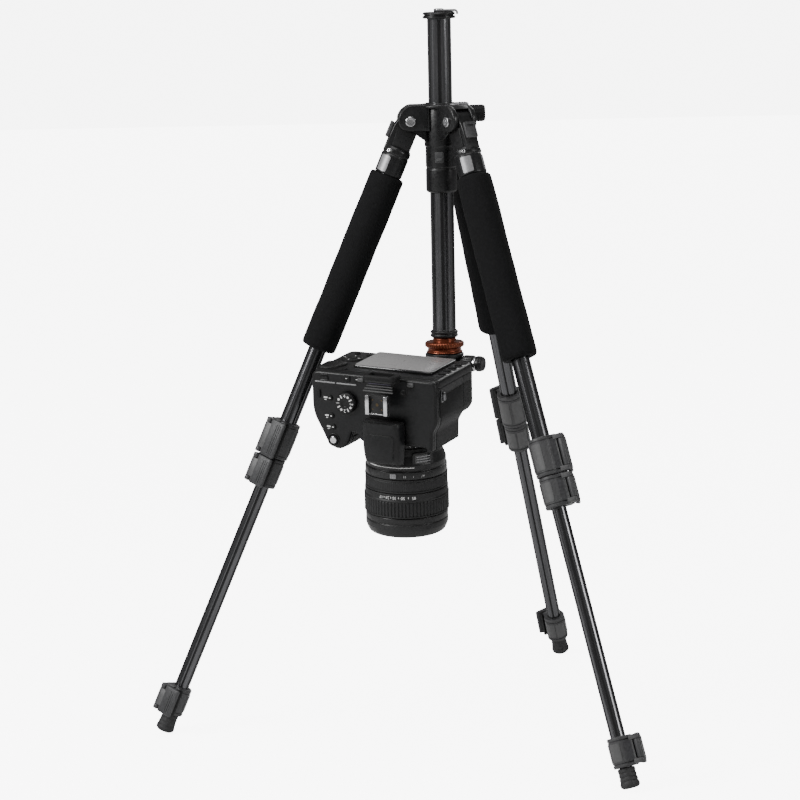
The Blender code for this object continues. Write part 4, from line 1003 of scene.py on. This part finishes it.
def build_controls():
    """Dial, shutter button, small buttons, shoe, flash, lugs and port cover."""
    dial = [(0, 37), (2, 37), (2, 39.8), (9.7, 39.8), (10.4, 40.4, 1), (10.4, 43.9, 1), (9.4, 45.0),
            (8.9, 45.4), (3.4, 45.4), (3.0, 45.0), (0, 45.0)]
    show("knurled_mode_dial", turned(dial, 192, 0.2, lambda a: -0.3 * (1 + math.cos(48 * a)) / 2),
         "camera_plastic", "mode_dial", CAMERA @ shift(41, -38), "mode_dial")
    marks = []
    for step in range(12):
        spot = turn(30 * step, "Z") @ shift(7.1)
        if step % 3 == 0:
            marks.append((text_mesh(str(1 + step // 3), 4.6), spot @ shift(z=45.42) @ turn(-90, "Z")))
        elif step % 3 == 1:
            marks.append((slab(rectangle(-1.6, 1.6, -0.6, 0.6, 0.3), 45.3, 45.55, 0), spot))
        else:
            marks.append((slab(arc(0, 0, 1.15, 0, 330, 11), 45.3, 45.55, 0), spot))
    show("mode_dial_marks", merged(marks), "white_marks", "mode_dial", CAMERA @ shift(41, -38))
    button = [(0, 37.4), (4.7, 37.4), (4.7, 40.2), (4.2, 40.8), (0, 40.8)]
    show("shutter_button_ring", turned(button, 48, 0.3), "rubber_black", "shutter_button",
         CAMERA @ shift(*BUTTON), "shutter_button")
    crown = [(0, 40.5), (3.3, 40.5), (3.3, 41.1), (2.6, 41.35), (1.8, 41.3), (0, 41.0)]
    show("dished_shutter_crown", turned(crown, 40, 0.15), "bright_steel", "shutter_button",
         CAMERA @ shift(*BUTTON))
    rim = [(5.3, 39.2), (6.6, 39.2), (6.6, 39.9), (6.1, 40.3), (5.3, 40.1)]
    show("shutter_surround", turned(rim, 48, 0.2), "camera_plastic", "camera",
         CAMERA @ shift(*BUTTON))

    caps, icons = [], []
    for x, y in ((59, -40.5), (58, -23), (56.5, -12.2)):
        caps.append((turned([(0, 39.2), (2.7, 39.2), (2.7, 40.4), (2.2, 40.9), (0, 40.9)], 36, 0.2),
                     shift(x, y)))
        icons.append((slab(rectangle(-2.2, 1.6, -0.8, 0.8, 0.4), 39.4, 39.65, 0), shift(x + 5.4, y)))
        icons.append((slab(rectangle(-1.0, 1.0, -0.35, 0.35, 0.2), 39.4, 39.65, 0), shift(x + 5.2, y + 2.2)))
        icons.append((slab(rectangle(-1.0, 1.0, -0.4, 0.4, 0.2), 40.8, 41.0, 0), shift(x, y)))
    for x in (41, 29.8):
        caps.append((slab(rectangle(x - 3.7, x + 3.7, -64.2, -58.4, 1.0), 38.6, 40.6, 0.6), shift()))
        icons.append((slab(rectangle(-0.9, 0.9, -0.3, 0.3, 0.2), 40.5, 40.75, 0), shift(x, -61.3)))
    caps.append((slab(rectangle(69.2, 72.6, -48, -40, 1.4), 39.2, 41, 0.6), shift()))
    show("top_buttons", merged(caps), "rubber_black", "camera", CAMERA)
    show("top_button_marks", merged(icons), "white_marks", "camera", CAMERA)
    wheel = turned([(0, -4.2), (5.0, -4.2), (5.6, -3.7, 1), (5.6, 3.7, 1), (5.0, 4.2), (0, 4.2)], 160, 0.2,
                   lambda a: -0.25 * (1 + math.cos(36 * a)))
    show("command_wheel", wheel, "camera_plastic", "camera", CAMERA @ shift(65, -60, 35.4) @ ALONG_X)

    low = 57.2
    rails = []
    for side in (-1, 1):
        inner, outer = side * 7.6, side * 11.4
        lip = [(outer, low), (outer, low + 3.7), (inner, low + 3.7), (inner, low + 2.7),
               (side * 9.4, low + 2.7), (side * 9.4, low)]
        rails.append((slab(rounded(lip, 0.35), 34.5, 53, 0.35), UPRIGHT))
    rails.append((slab(rectangle(-9.6, 9.6, -35.5, -34.6, 0.3), low, low + 1.6, 0.3), Matrix()))
    show("shoe_rails", merged(rails), "bright_steel", "camera", CAMERA, "hot_shoe")
    deck = [(slab(rectangle(-9.3, 9.3, -52.6, -35.2, 0.8), low - 0.4, low + 0.9, 0.3), Matrix())]
    deck.append((slab(rectangle(-12.2, 12.2, -53.6, -33.4, 1.5), low - 0.6, low + 0.1, 0.3), Matrix()))
    show("shoe_deck", merged(deck), "camera_plastic", "camera", CAMERA)
    spots = [(0, -44, 1.5)] + [(x, y, 0.7) for x in (-4.6, 4.6) for y in (-48.6, -39.6)]
    dots = [(rod(r, low + 0.7, low + 1.15, 24, 0.1), shift(x, y)) for x, y, r in spots]
    show("shoe_contacts", merged(dots), "contact_gold", "camera", CAMERA)

    nose = loops_along_y([(-25.8, 19.4, 17.6, 43.5, 54.6, 5), (-24.6, 19.9, 18.6, 41.8, 56.2, 6),
                          (-21, 20.2, 19.2, 41.4, 56.7, 6.5), (-10, 20.2, 19.0, 41.6, 56.5, 7),
                          (2, 20, 18.4, 42.2, 55.8, 7), (9, 19.8, 17.8, 42.6, 54.4, 6.5),
                          (14, 19.4, 17.2, 43, 51.8, 5), (16.4, 18.6, 16.6, 43.4, 49.2, 3.5),
                          (17.2, 17.4, 16.0, 44, 47.0, 1.6)])
    show("flash_cover", loft(nose), "camera_plastic", "popup_flash", CAMERA, "popup_flash")
    seam = rounded([(-15.5, -16), (15.5, -16), (13.5, 11), (-13.5, 11)], 4, 5)
    show("flash_cover_panel", slab(seam, 55.9, 57.0, 0.5), "camera_plastic", "popup_flash",
         CAMERA @ turn(-1.6, "X"))
    lamp = slab(rectangle(-15, 15, -1.5, 11.5, 1.6), 41.9, 42.9, 0.4)
    show("flash_window", lamp, "screen_cover", "popup_flash", CAMERA @ shift(z=0.1))
    arms = [(slab(rectangle(x - 1.5, x + 1.5, -23.4, -6, 1.2), 41.2, 43.4, 0.5), Matrix())
            for x in (-17, 17)]
    show("flash_arms", merged(arms), "black_casting", "popup_flash", CAMERA)

    lugs = []
    for x, z in ((LEFT - 0.6, 27.5), (RIGHT + 0.4, 27.5)):
        side = -1 if x < 0 else 1
        lugs.append((slab(rectangle(-6, 6, -2.0, 2.0, 1.2), -0.6, 0.7, 0.4),
                     shift(x, -50, z) @ turn(90 * side, "Y") @ turn(90, "Z")))
        bar = rounded([(-5, 0), (-3.4, 3.4), (3.4, 3.4), (5, 0)], 1.2, 3)
        lugs.append((slab(bar, -0.9, 0.9, 0.6), shift(x, -50, z) @ turn(90 * side, "Y") @ turn(90, "Z")
                     @ shift(z=0.6) @ turn(90, "X")))
    show("strap_lugs", merged(lugs), "column_black", "camera", CAMERA)
    port = slab(rounded([(-50, -32), (-29, -32), (-29, 18), (-50, 18)], 4, 5), -1.0, 0.7, 0.6)
    show("port_cover", port, "rubber_black", "camera",
         CAMERA @ shift(LEFT) @ Matrix(((0, 0, -1, 0), (1, 0, 0, 0), (0, -1, 0, 0), (0, 0, 0, 1))))
    knob = [(0, 0), (5.2, 0), (5.2, 1.6), (4.4, 2.4), (0, 2.2)]
    show("lens_release", turned(knob, 48, 0.4), "camera_plastic", "camera",
         CAMERA @ shift(-35.5, -1.8, -14) @ ALONG_Y)
    dip = [(0, -1), (2.5, -1, 1), (2.5, 1.5, 1), (2.0, 2.0), (0, 2.0)]
    show("dioptre_wheel", turned(dip, 96, 0.2, lambda a: -0.2 * (1 + math.cos(24 * a))),
         "rubber_black", "camera", CAMERA @ shift(-22.6, -56, 49) @ turn(-70, "Y"))


# ---- lens -----------------------------------------------------------------------------
def clocked(angle):
    """The lens's own frame, turned so that +X points from the top toward the ports."""
    return CAMERA @ ALONG_Y @ turn(-90 - angle, "Z")


def arc_line(radius, first, last, y, width, thick=0.12, steps=48):
    """A thin raised line along part of a ring."""
    loops = []
    for step in range(steps + 1):
        angle = math.radians(first + (last - first) * step / steps)
        section = [(radius - 0.3, y), (radius + thick, y), (radius + thick, y + width),
                   (radius - 0.3, y + width)]
        loops.append([(r * math.cos(angle), r * math.sin(angle), z) for r, z in section])
    return loft(loops)


def build_lens():
    """Barrel, focus and zoom rings, sliding front barrel, glass and markings."""
    barrel = [(33, 0.3), (33.6, 0.3), (34.0, 1.4), (34.0, 3.2), (33.5, 3.7), (33.5, 4.4), (34.6, 5.2),
              (35.2, 12), (37.4, 17.4), (38.4, 20.4), (38.4, 25), (38.0, 25.4), (38.0, 26.0),
              (39.2, 26.8), (39.2, 33.6), (38.6, 34), (36, 34), (36, 71.5), (33, 71.5)]
    show("lens_main_barrel", turned(barrel, 144, 0.3), "lens_plastic", "camera", CAMERA @ ALONG_Y,
         "lens_barrel")
    focus = [(36.3, 34.4), (39.2, 34.4), (39.7, 34.9), (39.7, 35.9), (39.1, 36.4, 1), (39.5, 36.9, 1),
             (39.5, 45.2, 1), (39.1, 45.7, 1), (39.7, 46.1), (39.7, 47.2), (39.2, 47.6), (36.3, 47.6)]
    show("ribbed_focus_ring", turned(focus, 480, 0.15, lambda a: -0.35 * (1 + math.cos(120 * a)) / 2),
         "lens_rubber", "focus_ring", CAMERA @ ALONG_Y, "focus_ring")
    zoom = [(36.3, 48.1), (39.6, 48.1), (40.0, 48.6), (40.0, 53.6), (40.4, 54.4), (40.7, 54.8),
            (40.7, 55.8), (40.2, 56.2, 1), (40.6, 56.8, 1), (40.6, 69.4, 1), (40.2, 70.0, 1),
            (40.7, 70.4), (40.7, 71.2), (40.2, 71.6), (36.3, 71.6)]
    show("ribbed_zoom_ring", turned(zoom, 576, 0.15, zoom_rib), "lens_rubber", "zoom_ring",
         CAMERA @ ALONG_Y, "zoom_ring")
    front = [(0, 78), (29, 78), (30, 76), (30, 31), (32.6, 31), (32.6, 72.3), (39.0, 72.3),
             (39.6, 73), (39.6, 77.6), (39.0, 78.1), (39.0, 79.0), (39.6, 79.5), (39.6, 84.6),
             (38.2, 88.5), (36.8, 91.2), (35.6, 92), (33.4, 92)]
    threads = [(r, 91.6 - 0.8 * step) for step in range(5) for r in (33.2 - 0.15 * step, 32.6)]
    rings = []
    for step in range(4):
        y = 87.2 - 1.6 * step
        rings += [(31.8 - 0.8 * step, y), (31.2 - 0.8 * step, y - 1.2)]
    show("sliding_front_barrel", turned(front + threads + rings + [(28.4, 80.6), (0, 80.6)], 144, 0.2),
         "lens_plastic", "front_barrel", CAMERA @ ALONG_Y, "front_barrel")
    dome = [(0, 80.8), (28.2, 80.8)] + [(28.2 * math.sin(math.radians(a)),
                                        80.4 + 5.2 * math.cos(math.radians(a)))
                                       for a in range(80, 0, -8)] + [(0, 85.6)]
    show("front_element", turned(dome, 96, 0), "front_glass", "front_barrel", CAMERA @ ALONG_Y)

    lines = [(arc_line(38.4, -38, 38, 21.8, 0.7), clocked(0))]
    for angle in (33, 42, 51, 60, 69):
        tall = 3.0 if angle in (42, 51) else 2.0
        line = wrap(fine_sheet(-0.45, 0.45, 0, tall, 0.1, 0.25, 2), 33.95)
        lines.append((line, clocked(angle) @ shift(z=0.9)))
    show("barrel_lines", merged(lines), "white_marks", "camera", Matrix())
    figures = []
    for angle, words in ((-11, "17"), (-1, "24"), (9, "35"), (21, "50"), (36, "85")):
        figures.append((wrap(text_mesh(words, 4.0), 40.05), clocked(angle) @ shift(z=51.4)))
    for angle in (-6, 4, 15, 28.5):
        figures.append((wrap(fine_sheet(-0.3, 0.3, -0.9, 0.9, 0.1, 0.2, 2), 39.95),
                        clocked(angle) @ shift(z=51.2)))
    show("zoom_figures", merged(figures), "white_marks", "zoom_ring", Matrix())
    scale = [(wrap(text_mesh(words, 2.6), 39.25), clocked(angle) @ shift(z=30.6))
             for angle, words in ((14, "3"), (24, "1.5"), (36, "1"), (50, "0.7"))]
    show("barrel_figures", merged(scale), "white_marks", "camera", Matrix())

    frame_sheet = wrap(fine_sheet(-10.5, 10.5, -6.0, 6.0, 3.0, 1.3, 14), 36.6)
    pane = wrap(fine_sheet(-8.4, 8.4, -4.2, 4.2, 1.6, 0.5, 12), 37.6)
    show("distance_window_frame", frame_sheet, "camera_plastic", "camera", clocked(52) @ shift(z=14.4))
    show("distance_window_pane", pane, "screen_border", "camera", clocked(52) @ shift(z=14.4))
    hatch = [(wrap(fine_sheet(-7, 7, y - 0.35, y + 0.35, 0.2, 0.35, 10), 38.0),
              clocked(52) @ shift(z=14.4)) for y in (-2.4, 0, 2.4)]
    show("distance_window_scale", merged(hatch), "light_grey_inlay", "camera", Matrix())
    plate = wrap(fine_sheet(-8.6, 8.6, -3.3, 3.3, 1.2, 0.6, 12), 39.15)
    nub = [(wrap(fine_sheet(-2.8, 2.8, -2.2, 2.2, 0.8, 1.5, 6), 39.2), clocked(8) @ shift(z=30))]
    nub += [(wrap(fine_sheet(x - 0.35, x + 0.35, -1.7, 1.7, 0.2, 0.5, 2), 40.6), clocked(8) @ shift(z=30))
            for x in (-1.6, 0, 1.6)]
    show("focus_switch_plate", plate, "camera_plastic", "camera", clocked(8) @ shift(z=30))
    show("focus_switch", merged(nub), "light_grey_inlay", "camera", Matrix())


def zoom_rib(angle):
    """Broad ribs with narrow valleys round the zoom grip."""
    wave = math.cos(72 * angle)
    return -0.75 * max(0.0, (wave - 0.2) / 0.8)


# ---- assembly ---------------------------------------------------------------------------
build_spider()
build_column()
build_head()
for leg_key in LEGS:
    build_leg(leg_key)
build_body()
build_controls()
build_lens()
bpy.context.view_layer.update()
